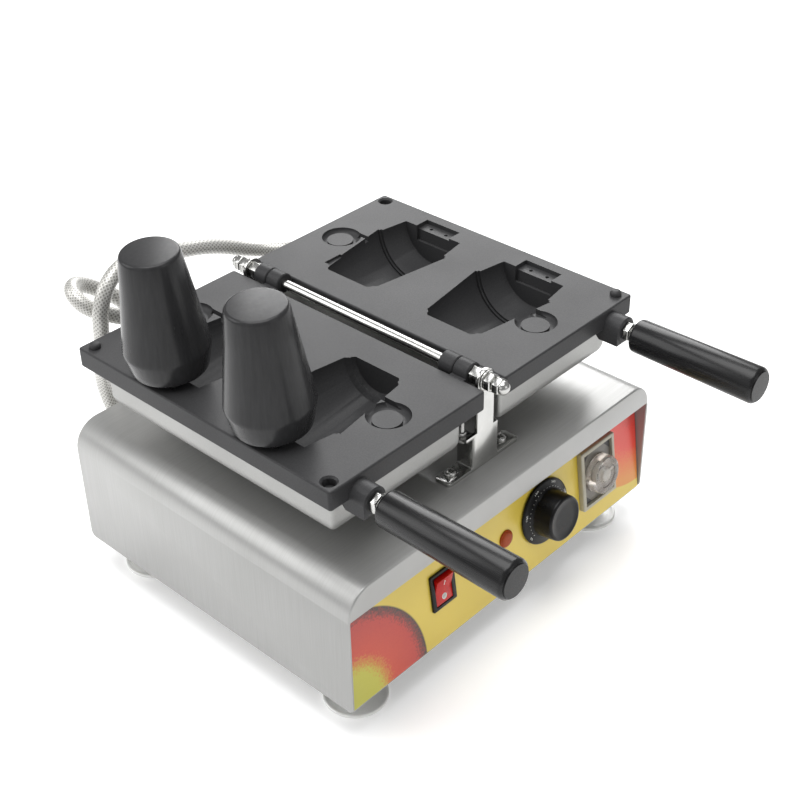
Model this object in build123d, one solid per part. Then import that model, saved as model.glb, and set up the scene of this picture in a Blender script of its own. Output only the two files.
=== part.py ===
from build123d import *
import os
from math import cos, radians, sin, tan

os.makedirs("parts", exist_ok=True)

# A cup waffle maker: two mould irons open like a book on a shaft above a sheet steel casing.
# Millimetres, +Z up, Z = 0 on the table, -Y towards the user, X along the control panel.
# Sizes below are set in the machine's own place: X = 0 on the hinge shaft, Y = 0 mid casing.

# Casing, folded from sheet into an upside-down U with a lip across the front
CASING_WIDTH = 350.0
CASING_DEPTH = 299.0
CASING_HEIGHT = 109.0
CASING_CORNER = 22.0
CASING_SHEET = 1.5
CASING_HEM = 12.0
HEM_FRONT_INSET = 15.0
HEM_BACK_INSET = 10.0
SIDE_CORNER = 5.0
PANEL_SHEET = 1.2
PANEL_TILT = 7.4
PANEL_SIDE_GAP = 0.4
PANEL_TUCK = 6.0
PANEL_TOP_CORNER = 9.0
OVERLAY_THICKNESS = 0.4
OVERLAY_MARGIN = 0.6
PLATE_SHEET = 1.2
SEAT = 0.3
CUT_OVER = 1.0
SAME_PLACE = 0.01

# Feet: dished metal discs on threaded stems
FOOT_HEIGHT = 26.0
FOOT_RADIUS = 24.8
FOOT_RIM = 3.4
FOOT_RIM_WIDTH = 1.6
FOOT_DISH_WIDTH = 2.9
FOOT_WEB = 2.2
FOOT_HUB_RADIUS = 9.0
FOOT_HUB_HEIGHT = 9.0
FOOT_HUB_FLARE = 4.0
FOOT_HUB_TAPER = 1.0
FOOT_INSET_X = 33.0
FOOT_FRONT_INSET = 30.5
FOOT_BACK_INSET = 38.0
STEM_RADIUS = 4.0
STEM_NUT_RADIUS = 7.5
STEM_NUT_HEIGHT = 5.0
STEM_LIFT = 1.0
STEM_PROUD = 3.0

# Hinge shaft and the two bent brackets that carry it
SHAFT_RADIUS = 4.0
SHAFT_RISE = 75.5
RUNNING_FIT = 0.05
IRON_Y = 3.0
BRACKET_SHEET = 3.0
BRACKET_FACE = 124.5
EAR_RADIUS = 9.1
CHANNEL_HALF = 14.2
CHANNEL_DEPTH = 15.0
CHANNEL_RISE = 33.0
FOOT_TAB_REACH = 26.0
FOOT_TAB_CORNER = 3.0
BRACKET_SCREW_X = 29.0
BRACKET_SCREW_INSET = 9.0
SCREW_RADIUS = 2.4
SCREW_HEAD_RADIUS = 4.6
SCREW_HEAD_HEIGHT = 2.8
SCREW_LENGTH = 9.0
HOLE_CLEARANCE = 0.1
STOP_TAB_REACH = 7.0
STOP_BOLT_X = 17.9
STOP_BOLT_RADIUS = 1.8
STOP_NUT_RADIUS = 3.4
STOP_NUT_HEIGHT = 3.0
SHAFT_WASHER_RADIUS = 8.0
SHAFT_WASHER = 1.5
SHAFT_NUT_RADIUS = 7.4
SHAFT_NUT_HEIGHT = 6.0
SHAFT_THREAD_GAP = 1.4
SHAFT_END_GAP = 0.1
ACORN_RADIUS = 6.8
ACORN_HEX_HEIGHT = 6.0
ACORN_THREAD_GAP = 1.0
ACORN_DOME_RADIUS = 5.6

# Irons: cast plates with cup moulds, mirrored left and right of the shaft
PARTING_GAP = 0.3
PLATE_INNER = 11.2
PLATE_WIDTH = 156.7
PLATE_LENGTH = 266.0
PLATE_THICKNESS = 16.0
PLATE_CORNER = 2.5
PLATE_EDGE = 0.6
MOULD_WALL = 4.2
KNUCKLE_RADIUS = 8.6
KNUCKLE_WIDTH = 13.4
KNUCKLE_START = 85.0
KNUCKLE_GAP = 0.5
KNUCKLE_WEB_DEPTH = 14.0
KNUCKLE_ROOT = 2.0
PEG_SIDE_INSET = 8.9
PEG_END_INSET = 9.5
PEG_RADIUS = 4.6
PEG_HEIGHT = 4.2
PEG_ROOT = 6.0
PEG_ROOT_GAP = 0.2
PEG_STEP = 1.4
PEG_ROUNDING = 2.8
PEG_HOLE_RADIUS = 5.1
PEG_HOLE_DEPTH = 7.0
PEG_COUNTERSINK = 1.4

# Cup moulds, half cones lying along X, narrow end at the shaft
CUP_Y = 54.0
CUP_START = 39.5
CUP_RIM = 116.5
CUP_END = 143.3
CUP_FOOT_RADIUS = 24.0
CUP_BASE_RADIUS = 27.4
CUP_RIM_RADIUS = 38.0
CUP_LAND_RADIUS = 36.2
CUP_LAND_WIDTH = 1.8
SEAL_RADIUS = 34.4
SEAL_END_RADIUS = 30.4
CUP_FOOT_STEP = 2.5
CUP_FOOT_LAND = 1.5
EAR_T = 82.5
EAR_Y = 50.0
EAR_DISC_RADIUS = 11.0
EAR_RING_RADIUS = 16.5
EAR_SHIFT_X = 4.1
EAR_SHIFT_Y = 2.5
EAR_DEPTH = 5.0
RECESS_LENGTH = 13.7
RECESS_HALF = 18.2
RECESS_DEPTH = 3.8
RECESS_LAP = 0.5
POCKET_LENGTH = 2.5
POCKET_DEPTH = 14.0
LEAF_HOLE_PAST_CUP = 7.7
LEAF_HOLE_Y = 8.2
LEAF_HOLE_RADIUS = 1.6
LEAF_HOLE_DEPTH = 6.0
SCREW_TIP_GAP = 0.5

# Cores, hinged at the outer end of the left iron's moulds
CORE_LENGTH = 97.0
CORE_TIP_RADIUS = 21.6
CORE_WIDE_RADIUS = 32.4
CORE_WIDE_AT = 19.0
CORE_BASE_RADIUS = 28.4
CORE_TIP_FILLET = 2.5
CORE_BASE_FILLET = 3.5
CORE_BASE_GAP = 4.3
CORE_LEAN = 4.0
CORE_PIVOT_PAST_CUP = 0.2
CORE_PIVOT_RISE = 1.0
BARREL_RADIUS = 2.4
CORE_PIN_RADIUS = 1.2
LUG_HALF = 6.0
LUG_ROOT = 1.0
BARREL_GAP = 0.3
BARREL_END = 14.0
LEAF_THICKNESS = 1.8
LEAF_EDGE_GAP = 0.5
LEAF_SCREW_HEAD = 3.0
LEAF_SCREW_HEAD_HEIGHT = 1.2

# Handles: threaded rod, lock nut and a turned grip on the front of each iron
HANDLE_INSET = 26.9
HANDLE_DROP = 14.5
BOSS_RADIUS = 10.5
BOSS_LENGTH = 15.0
BOSS_ROOT = 2.0
BOSS_HEEL = 0.5
BOSS_BORE_DEPTH = 22.0
ROD_RADIUS = 4.0
HANDLE_NUT_RADIUS = 8.0
HANDLE_NUT_HEIGHT = 6.0
GRIP_START_GAP = 3.4
GRIP_LENGTH = 108.0
GRIP_START_RADIUS = 13.4
GRIP_END_RADIUS = 14.4
GRIP_FILLET = 3.0
GRIP_BORE_DEPTH = 60.0
CAP_RADIUS = 12.4
CAP_THICKNESS = 3.0
CAP_PROUD = 0.8
CAP_ROUNDING = 0.6

# Heater covers, heating elements and insulation under each iron
COVER_INNER = 22.0
COVER_GAP = 5.5
COVER_END_INSET = 13.5
COVER_DEPTH = 38.5
COVER_BEND = 12.0
COVER_SIDE_CORNER = 3.0
COVER_SHEET = 1.0
INSULATION = 4.6
INSULATION_EDGE = 12.0
INSULATION_FIT = 0.5
HEATER_RADIUS = 4.0
HEATER_GAP = 0.6
HEATER_SIDE_INSET = 30.0
HEATER_END_INSET = 15.5
HEATER_BEND = 12.0
COVER_BOSS_RADIUS = 5.0
COVER_BOSS_DEPTH = 12.0
COVER_BOSS_INNER_INSET = 24.0
COVER_BOSS_SIDE_INSET = 20.0
COVER_BOSS_END_INSET = 19.5
BULB_RADIUS = 3.0
BULB_LENGTH = 70.0
BULB_T = 92.0

# Rear glands and braided hoses
HOSE_RADIUS = 6.5
GLAND_RADIUS = 10.0
GLAND_NECK_RADIUS = 6.0
GLAND_FLANGE = 4.0
GLAND_LENGTH = 10.0
GLAND_TAIL = 5.0
GLAND_WALL = 2.0
GLAND_FLANGE_EDGE = 1.2
FERRULE_WALL = 0.6
IRON_FERRULE_WALL = 1.0
IRON_GLAND_PROUD = 5.0
HOSE_ARC_SHARE = 0.45
RIGHT_GLAND_T = 92.0
LEFT_GLAND_T = 62.0
IRON_GLAND_DROP = 33.0
CASING_GLAND_RISE = 30.0
RIGHT_HOSE_OUTLET_X = -92.0
LEFT_HOSE_OUTLET_X = -36.0
INLET_INSET = 55.0
INLET_RISE = 30.0
RIGHT_HOSE_LEAVE_Y = 160.0
RIGHT_HOSE_ARRIVE_Y = 182.0
RIGHT_HOSE_PATH = (
    (84.5, 177.5, 175.5),
    (71.0, 191.0, 175.5),
    (53.0, 198.0, 181.0),
    (31.0, 199.0, 192.0),
    (6.0, 196.0, 203.0),
    (-22.0, 190.0, 213.0),
    (-54.0, 181.0, 227.0),
    (-84.0, 173.0, 236.5),
    (-104.0, 167.0, 237.0),
    (-119.0, 162.5, 229.0),
    (-127.5, 161.0, 213.0),
    (-128.0, 162.5, 195.0),
    (-122.5, 171.5, 175.0),
    (-114.0, 187.0, 153.0),
    (-106.0, 204.0, 132.0),
    (-99.0, 215.0, 108.0),
    (-94.0, 216.0, 84.0),
    (-92.0, 203.0, 64.0),
)
LEFT_HOSE_LEAVE_Y = 158.0
LEFT_HOSE_ARRIVE_Y = 184.0
LEFT_HOSE_PATH = (
    (-77.0, 169.0, 182.0),
    (-97.0, 173.5, 189.0),
    (-113.0, 177.0, 199.0),
    (-123.5, 180.0, 206.0),
    (-128.0, 186.0, 212.0),
    (-127.4, 195.0, 216.4),
    (-121.7, 203.3, 217.3),
    (-113.0, 207.8, 214.3),
    (-97.0, 209.0, 203.0),
    (-77.0, 209.0, 186.0),
    (-61.0, 210.0, 163.0),
    (-49.0, 216.0, 138.0),
    (-41.0, 222.0, 112.0),
    (-37.0, 220.0, 87.0),
    (-36.0, 206.0, 66.0),
)

# Controls on the tilted panel, by distance across (u) and up (v) the panel
CONTROL_V = 46.5
SWITCH_U = -72.5
SWITCH_WIDTH = 25.5
SWITCH_HEIGHT = 31.5
SWITCH_BEZEL = 2.0
SWITCH_FRAME = 3.0
SWITCH_END_FRAME = 1.0
SWITCH_CORNER = 1.0
SWITCH_BODY_LAP = 0.1
SWITCH_CAVITY_WIDTH = 18.2
SWITCH_CAVITY_HEIGHT = 26.2
SWITCH_BODY_DEPTH = 22.0
SWITCH_FLOOR = 8.5
ROCKER_WIDTH = 17.4
ROCKER_HALF = 11.6
ROCKER_END_RISE = 3.4
ROCKER_MID_RISE = 1.4
ROCKER_DROP = 5.6
ROCKER_PIVOT_DROP = 2.0
ROCKER_TILT = 8.0
ROCKER_PIN_RADIUS = 1.5
ROCKER_PIN_REACH = 0.5
BUZZER_U = -36.0
BUZZER_RADIUS = 10.5
BUZZER_RIM = 2.4
BUZZER_BODY_RADIUS = 8.0
BUZZER_DEPTH = 18.0
BUZZER_SLOT_PITCH = 4.0
BUZZER_SLOT_WIDTH = 1.4
LAMP_U = 1.2
LAMP_RADIUS = 7.2
LAMP_RISE = 2.6
LAMP_RIM_RISE = 1.2
LAMP_DOME_RADIUS = 5.9
LAMP_DOME_RISE = 2.2
LAMP_TOP_RADIUS = 3.2
LAMP_BODY_RADIUS = 5.0
LAMP_DEPTH = 20.0
THERMOSTAT_U = 47.2
SKIRT_RADIUS = 27.6
SKIRT_THICKNESS = 3.2
SKIRT_GAP = 0.8
SKIRT_EDGE = 1.3
SKIRT_BEVEL = 1.2
SKIRT_SLOPE = 0.6
KNOB_FLARE = 1.4
KNOB_FLARE_RISE = 1.6
KNOB_RADIUS = 19.2
KNOB_TOP_RADIUS = 18.6
KNOB_RISE = 22.5
KNOB_FILLET = 1.6
KNOB_DISH = 0.5
STEM_BORE_DEPTH = 12.0
CONTROL_STEM_RADIUS = 3.0
THERMOSTAT_BODY = 38.0
THERMOSTAT_DEPTH = 24.0
THERMOSTAT_CORNER = 3.0
THERMOSTAT_BORE = 14.4
TIMER_U = 115.0
TIMER_WIDTH = 44.0
TIMER_HEIGHT = 55.0
TIMER_FRAME_RISE = 5.0
TIMER_FRAME_BORDER = 3.6
TIMER_FRAME_CORNER = 2.0
TIMER_FRAME_BEVEL = 0.8
TIMER_FACE_GAP = 0.1
TIMER_FACE_RISE = 2.6
TIMER_BODY_DEPTH = 40.0
TIMER_BORE_DEPTH = 12.0
TIMER_KNOB_RADIUS = 17.0
TIMER_KNOB_TOP_RADIUS = 15.4
TIMER_KNOB_RISE = 10.0
TIMER_KNOB_GAP = 0.5
TIMER_KNOB_EDGE = 0.8
TIMER_HUB_RADIUS = 6.0
TIMER_HUB_SLOPE = 0.5
TIMER_HUB_FLOOR = 1.0
TIMER_STEM_LENGTH = 11.2
CUT_CLEARANCE = 0.3

# Wiring blocks on the base plate
TERMINAL_LENGTH = 70.0
TERMINAL_WIDTH = 22.0
TERMINAL_HEIGHT = 18.0
TERMINAL_POLES = 6
TERMINAL_WELL_RADIUS = 3.3
TERMINAL_WELL_DEPTH = 9.0
TERMINAL_Y = 40.0
BASE_SCREW_INSET = 7.0

# Sizes worked out from the ones above
CASING_BOTTOM = FOOT_HEIGHT
CASING_TOP = CASING_BOTTOM + CASING_HEIGHT
SHAFT_Z = CASING_TOP + SHAFT_RISE
PLATE_TOP = -PARTING_GAP / 2
PLATE_UNDER = PLATE_TOP - PLATE_THICKNESS
PLATE_OUTER = PLATE_INNER + PLATE_WIDTH
COVER_BOTTOM = PLATE_UNDER - COVER_DEPTH
BOSS_FRONT = -PLATE_LENGTH / 2 - BOSS_LENGTH
GRIP_FRONT = BOSS_FRONT - HANDLE_NUT_HEIGHT - GRIP_START_GAP - GRIP_LENGTH
FRONT_MOST = IRON_Y + GRIP_FRONT - CAP_PROUD
BACK_MOST = CASING_DEPTH / 2 + GLAND_FLANGE + GLAND_LENGTH
CORE_PIVOT_T = CUP_END + CORE_PIVOT_PAST_CUP
CORE_PIVOT_X = -CORE_PIVOT_T
CORE_PIVOT_Z = SHAFT_Z + CORE_PIVOT_RISE
CORE_BASE_T = CUP_END - CORE_BASE_GAP
CORE_LEAN_REACH = (CORE_WIDE_AT + CORE_PIVOT_T - CORE_BASE_T) * sin(radians(CORE_LEAN))
CORE_SIDE_REACH = (CORE_WIDE_RADIUS + PLATE_TOP - CORE_PIVOT_RISE) * cos(radians(CORE_LEAN))
LEFT_MOST = -max(CASING_WIDTH / 2, CORE_PIVOT_T + CORE_LEAN_REACH + CORE_SIDE_REACH)
FRAME_X = (LEFT_MOST + CASING_WIDTH / 2) / 2
FRAME_Y = (FRONT_MOST + BACK_MOST) / 2
CUP_CENTRES = (-CUP_Y, CUP_Y)
PEG_T = PLATE_OUTER - PEG_SIDE_INSET
PEG_Y = PLATE_LENGTH / 2 - PEG_END_INSET
HANDLE_T = PLATE_OUTER - HANDLE_INSET
LEAF_HOLE_T = CUP_END + LEAF_HOLE_PAST_CUP
COVER_OUTER = CUP_END + MOULD_WALL + COVER_GAP + COVER_SHEET
COVER_HALF_LENGTH = PLATE_LENGTH / 2 - COVER_END_INSET
COVER_BOSS_T = COVER_OUTER - COVER_BOSS_SIDE_INSET
COVER_BOSS_Y = COVER_HALF_LENGTH - COVER_BOSS_END_INSET
COVER_BOSSES = (
    (COVER_INNER + COVER_BOSS_INNER_INSET, 0.0),
    (COVER_BOSS_T, COVER_BOSS_Y),
    (COVER_BOSS_T, -COVER_BOSS_Y),
)
HEATER_OUTER = COVER_OUTER - HEATER_SIDE_INSET
HEATER_LANE = COVER_HALF_LENGTH - HEATER_END_INSET
HEATER_INNER = COVER_INNER + COVER_SHEET + HEATER_GAP + HEATER_RADIUS
INLET_X = CASING_WIDTH / 2 - INLET_INSET

panel_plane = Plane(
    origin=(0, -CASING_DEPTH / 2 + PANEL_SHEET, CASING_BOTTOM + PLATE_SHEET + SEAT),
    x_dir=(1, 0, 0),
    z_dir=(0, -cos(radians(PANEL_TILT)), sin(radians(PANEL_TILT))),
)
PANEL_LENGTH = (CASING_HEIGHT - CASING_CORNER + PANEL_TUCK - PLATE_SHEET) / cos(radians(PANEL_TILT))


def block(x0, x1, y0, y1, z0, z1):
    """A box between two opposite corners."""
    return Pos((x0 + x1) / 2, (y0 + y1) / 2, (z0 + z1) / 2) * Box(abs(x1 - x0), abs(y1 - y0), abs(z1 - z0))


def iron_block(t0, t1, y0, y1, z0, z1):
    """A box in the right iron's place: t from the shaft, y from the iron's middle, z from the shaft."""
    return block(t0, t1, IRON_Y + y0, IRON_Y + y1, SHAFT_Z + z0, SHAFT_Z + z1)


def rod_z(radius, z0, z1, x=0.0, y=0.0):
    """An upright cylinder between two heights."""
    return Pos(x, y, (z0 + z1) / 2) * Cylinder(radius, abs(z1 - z0))


def rod_y(radius, y0, y1, x=0.0, z=0.0):
    """A cylinder along Y."""
    return Pos(x, (y0 + y1) / 2, z) * Rot(90, 0, 0) * Cylinder(radius, abs(y1 - y0))


def rod_x(radius, x0, x1, y=0.0, z=0.0):
    """A cylinder along X."""
    return Pos((x0 + x1) / 2, y, z) * Rot(0, 90, 0) * Cylinder(radius, abs(x1 - x0))


def hex_y(radius, y0, y1, x=0.0, z=0.0):
    """A hexagonal bar along Y."""
    bar = extrude(RegularPolygon(radius, 6), abs(y1 - y0) / 2, both=True)
    return Pos(x, (y0 + y1) / 2, z) * Rot(90, 0, 0) * bar


def hex_z(radius, z0, z1, x=0.0, y=0.0):
    """A hexagonal bar standing upright."""
    bar = extrude(RegularPolygon(radius, 6), abs(z1 - z0) / 2, both=True)
    return Pos(x, y, (z0 + z1) / 2) * bar


def on_panel(shape, u, v):
    """Place a shape, modelled with its own Z along the panel's outward normal, on the panel."""
    return panel_plane.location * Pos(u, v, 0) * shape


def turned(points):
    """A solid of revolution about its own Z axis from (radius, height) points."""
    outline = Polyline(*[(r, 0, z) for r, z in points], close=True)
    return revolve(make_face(outline), Axis.Z)


def other_side(shape):
    """The same shape on the other iron, mirrored across the shaft."""
    return mirror(shape, about=Plane.YZ)


def turned_round(shape):
    """The same part at the other end of the shaft, turned half a turn about the iron's middle."""
    return Pos(0, IRON_Y, 0) * Rot(0, 0, 180) * Pos(0, -IRON_Y, 0) * shape


def save(name, shape):
    """Write one node, moved so that the origin is under the middle of the machine."""
    export_step(Pos(-FRAME_X, -FRAME_Y, 0) * shape, f"parts/{name}.step")


def casing_section(offset):
    """The casing's outline across X and Z, drawn in by offset and open at the bottom."""
    half = CASING_WIDTH / 2 - offset
    top = CASING_TOP - offset
    corner = CASING_CORNER - offset
    height = CASING_HEIGHT - offset
    face = Pos(0, top - height / 2) * Rectangle(2 * half, height)
    upper = face.vertices().sort_by(Axis.Y)[-2:]
    return fillet(upper, corner)


def along_y(face, y0, y1):
    """Extrude a section drawn in X and Z between two depths."""
    stood = Plane(origin=(0, y1, 0), x_dir=(1, 0, 0), z_dir=(0, -1, 0)).location * face
    return extrude(stood, y1 - y0, dir=(0, -1, 0))


def casing_shell():
    """The folded casing: top, sides, bottom hems and the lip across the front."""
    front, back = -CASING_DEPTH / 2, CASING_DEPTH / 2
    shell = along_y(casing_section(0), front, back) - along_y(casing_section(CASING_SHEET), front, back)
    corners = shell.edges().filter_by(Axis.X).group_by(Axis.Z)[0]
    shell = fillet(corners, SIDE_CORNER)
    lip_bottom = CASING_TOP - CASING_CORNER
    lip = along_y(casing_section(0), front, front + CASING_SHEET)
    lip &= block(-CASING_WIDTH, CASING_WIDTH, front, back, lip_bottom, CASING_TOP)
    shell += lip
    for side in (-1, 1):
        wall = side * CASING_WIDTH / 2
        inner = wall - side * CASING_HEM
        shell += block(
            wall - side * CASING_SHEET / 2, inner,
            front + HEM_FRONT_INSET, back - HEM_BACK_INSET,
            CASING_BOTTOM + PLATE_SHEET + SEAT, CASING_BOTTOM + PLATE_SHEET + SEAT + CASING_SHEET,
        )
        for y in hem_screw_rows():
            x = side * (CASING_WIDTH / 2 - BASE_SCREW_INSET)
            shell -= rod_z(SCREW_RADIUS + HOLE_CLEARANCE, CASING_BOTTOM, CASING_BOTTOM + SCREW_LENGTH, x, y)
    for x, y in bracket_screw_points():
        shell -= rod_z(SCREW_RADIUS + HOLE_CLEARANCE, CASING_TOP - SCREW_LENGTH, CASING_TOP + CUT_OVER, x, y)
    return shell


def hem_screw_rows():
    """Depths of the screws that hold the base plate to the casing's hems."""
    return (-CASING_DEPTH / 3, 0.0, CASING_DEPTH / 3)


def bracket_screw_points():
    """Places of the screws through both brackets' feet."""
    reach = BRACKET_FACE - BRACKET_SCREW_INSET
    return [(x, IRON_Y + y) for y in (-reach, reach) for x in (-BRACKET_SCREW_X, BRACKET_SCREW_X)]


def foot_points():
    """Places of the four feet."""
    x = CASING_WIDTH / 2 - FOOT_INSET_X
    front = -CASING_DEPTH / 2 + FOOT_FRONT_INSET
    back = CASING_DEPTH / 2 - FOOT_BACK_INSET
    return [(-x, front), (x, front), (-x, back), (x, back)]


def base_plate():
    """The bottom sheet, screwed up to the casing's hems, with holes for the feet's stems."""
    half = CASING_WIDTH / 2 - CASING_SHEET - PANEL_SIDE_GAP
    front = -CASING_DEPTH / 2 + PANEL_SHEET + OVERLAY_THICKNESS + SEAT
    back = CASING_DEPTH / 2 - PLATE_SHEET - SEAT
    below = CASING_BOTTOM - CUT_OVER
    above = CASING_BOTTOM + SCREW_LENGTH
    plate = block(-half, half, front, back, CASING_BOTTOM, CASING_BOTTOM + PLATE_SHEET)
    for x, y in foot_points():
        plate -= rod_z(STEM_RADIUS + HOLE_CLEARANCE, below, above, x, y)
    for side in (-1, 1):
        for y in hem_screw_rows():
            x = side * (CASING_WIDTH / 2 - BASE_SCREW_INSET)
            plate -= rod_z(SCREW_RADIUS + HOLE_CLEARANCE, below, above, x, y)
    return plate


def base_screws():
    """Pan-head screws from below into the casing's hems."""
    screws = []
    for side in (-1, 1):
        for y in hem_screw_rows():
            x = side * (CASING_WIDTH / 2 - BASE_SCREW_INSET)
            head = rod_z(SCREW_HEAD_RADIUS, CASING_BOTTOM - SCREW_HEAD_HEIGHT, CASING_BOTTOM, x, y)
            screws.append(head + rod_z(SCREW_RADIUS, CASING_BOTTOM, CASING_BOTTOM + SCREW_LENGTH, x, y))
    return Compound(screws)


def back_panel():
    """The rear sheet with its outlets for the two hoses and the mains lead."""
    back = CASING_DEPTH / 2
    inset = CASING_SHEET + PANEL_SIDE_GAP
    panel = along_y(casing_section(inset), back - PLATE_SHEET, back)
    panel &= block(-CASING_WIDTH, CASING_WIDTH, 0, back, CASING_BOTTOM, CASING_TOP)
    for x, z in outlet_points():
        panel -= rod_y(GLAND_NECK_RADIUS + HOLE_CLEARANCE, back - GLAND_TAIL, back + CUT_OVER, x, z)
    return panel


def outlet_points():
    """Places of the openings in the rear sheet: two hose outlets, then the mains inlet."""
    hose_z = CASING_BOTTOM + CASING_GLAND_RISE
    return [
        (RIGHT_HOSE_OUTLET_X, hose_z),
        (LEFT_HOSE_OUTLET_X, hose_z),
        (INLET_X, CASING_BOTTOM + INLET_RISE),
    ]


def panel_outline(margin):
    """The control panel's face in its own plane, with rounded upper corners."""
    width = CASING_WIDTH - 2 * (CASING_SHEET + PANEL_SIDE_GAP + margin)
    height = PANEL_LENGTH - 2 * margin
    face = Pos(0, PANEL_LENGTH / 2) * Rectangle(width, height)
    return fillet(face.vertices().sort_by(Axis.Y)[-2:], PANEL_TOP_CORNER)


def control_openings():
    """The cut-outs for everything that goes through the panel, along its normal."""
    tall = 4 * (PANEL_SHEET + OVERLAY_THICKNESS)
    switch = Box(SWITCH_WIDTH - 2 * SWITCH_FRAME, SWITCH_HEIGHT - 2 * SWITCH_END_FRAME, tall)
    timer_size = (TIMER_WIDTH - 2 * TIMER_FRAME_BORDER, TIMER_HEIGHT - 2 * TIMER_FRAME_BORDER)
    cuts = Pos(SWITCH_U, CONTROL_V, 0) * switch
    cuts += Pos(TIMER_U, CONTROL_V, 0) * Box(timer_size[0], timer_size[1], tall)
    cuts += Pos(BUZZER_U, CONTROL_V, 0) * Cylinder(BUZZER_BODY_RADIUS + CUT_CLEARANCE, tall)
    cuts += Pos(LAMP_U, CONTROL_V, 0) * Cylinder(LAMP_BODY_RADIUS + CUT_CLEARANCE, tall)
    cuts += Pos(THERMOSTAT_U, CONTROL_V, 0) * Cylinder(CONTROL_STEM_RADIUS + CUT_CLEARANCE, tall)
    return panel_plane.location * cuts


def control_panel():
    """The tilted steel sheet that carries the controls."""
    sheet = extrude(panel_outline(0), -PANEL_SHEET)
    return panel_plane.location * sheet - control_openings()


def panel_overlay():
    """The printed film on the control panel."""
    film = extrude(panel_outline(OVERLAY_MARGIN), OVERLAY_THICKNESS)
    return panel_plane.location * film - control_openings()


def feet():
    """Four turned feet: a dished disc with a raised rim and a hub for the stem."""
    foot = turned([
        (STEM_RADIUS + HOLE_CLEARANCE, 0),
        (FOOT_RADIUS, 0),
        (FOOT_RADIUS, FOOT_RIM),
        (FOOT_RADIUS - FOOT_RIM_WIDTH, FOOT_RIM),
        (FOOT_RADIUS - FOOT_RIM_WIDTH - FOOT_DISH_WIDTH, FOOT_WEB),
        (FOOT_HUB_RADIUS + FOOT_HUB_FLARE, FOOT_WEB),
        (FOOT_HUB_RADIUS, FOOT_WEB + FOOT_HUB_FLARE / 2),
        (FOOT_HUB_RADIUS - FOOT_HUB_TAPER, FOOT_HUB_HEIGHT),
        (STEM_RADIUS + HOLE_CLEARANCE, FOOT_HUB_HEIGHT),
    ])
    return Compound([Pos(x, y, 0) * foot for x, y in foot_points()])


def foot_stems():
    """Threaded stems with a shoulder nut under the base plate and a nut above it."""
    stems = []
    for x, y in foot_points():
        above = CASING_BOTTOM + PLATE_SHEET
        stem = rod_z(STEM_RADIUS, STEM_LIFT, above + STEM_NUT_HEIGHT + STEM_PROUD, x, y)
        stem += hex_z(STEM_NUT_RADIUS, CASING_BOTTOM - STEM_NUT_HEIGHT, CASING_BOTTOM, x, y)
        stem += hex_z(STEM_NUT_RADIUS, above, above + STEM_NUT_HEIGHT, x, y)
        stems.append(stem)
    return Compound(stems)


def hinge_bracket():
    """The front bracket: ear and strap, a channel below with two side walls, feet and a stop tab."""
    face = IRON_Y - BRACKET_FACE
    back = face + BRACKET_SHEET
    wall_top = CASING_TOP + CHANNEL_RISE
    strap = block(-EAR_RADIUS, EAR_RADIUS, face, back, CASING_TOP, SHAFT_Z)
    strap += rod_y(EAR_RADIUS, face, back, 0, SHAFT_Z)
    strap += block(-CHANNEL_HALF, CHANNEL_HALF, face, back, CASING_TOP, wall_top)
    depth = face + CHANNEL_DEPTH
    for side in (-1, 1):
        outer = side * CHANNEL_HALF
        strap += block(outer, outer - side * BRACKET_SHEET, face, depth, CASING_TOP, wall_top)
        foot = block(
            outer - side * BRACKET_SHEET, outer + side * FOOT_TAB_REACH,
            face, depth, CASING_TOP, CASING_TOP + BRACKET_SHEET,
        )
        tips = foot.edges().filter_by(Axis.Z).sort_by(Axis.X)
        foot = fillet(tips[-2:] if side > 0 else tips[:2], FOOT_TAB_CORNER)
        strap += foot
        strap -= rod_z(
            SCREW_RADIUS + HOLE_CLEARANCE, CASING_TOP - CUT_OVER, CASING_TOP + 2 * BRACKET_SHEET,
            side * BRACKET_SCREW_X, face + BRACKET_SCREW_INSET,
        )
    foot_top = CASING_TOP + BRACKET_SHEET
    inner_corners = [
        edge for edge in strap.edges().filter_by(Axis.Y)
        if abs(abs(edge.center().X) - CHANNEL_HALF) < SAME_PLACE
        and abs(edge.center().Z - foot_top) < SAME_PLACE
    ]
    strap = fillet(inner_corners, BRACKET_SHEET / 2)
    tab = block(
        -CHANNEL_HALF + BRACKET_SHEET, -CHANNEL_HALF - STOP_TAB_REACH,
        face, depth, wall_top - BRACKET_SHEET, wall_top,
    )
    strap += tab
    strap -= rod_z(
        STOP_BOLT_RADIUS + HOLE_CLEARANCE, wall_top - 2 * BRACKET_SHEET, wall_top + CUT_OVER,
        -STOP_BOLT_X, face + CHANNEL_DEPTH / 2,
    )
    strap -= rod_y(SHAFT_RADIUS + RUNNING_FIT, face - CUT_OVER, back + CUT_OVER, 0, SHAFT_Z)
    return strap


def stop_bolt():
    """The front bracket's stop bolt, its tip just under the left iron, with a lock nut on the tab."""
    face = IRON_Y - BRACKET_FACE
    y = face + CHANNEL_DEPTH / 2
    wall_top = CASING_TOP + CHANNEL_RISE
    head_top = wall_top - BRACKET_SHEET
    tip = SHAFT_Z + PLATE_UNDER - SEAT
    bolt = rod_z(STOP_BOLT_RADIUS, head_top, tip, -STOP_BOLT_X, y)
    bolt += hex_z(STOP_NUT_RADIUS, head_top - STOP_NUT_HEIGHT, head_top, -STOP_BOLT_X, y)
    bolt += hex_z(STOP_NUT_RADIUS, wall_top, wall_top + STOP_NUT_HEIGHT, -STOP_BOLT_X, y)
    return bolt


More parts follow.
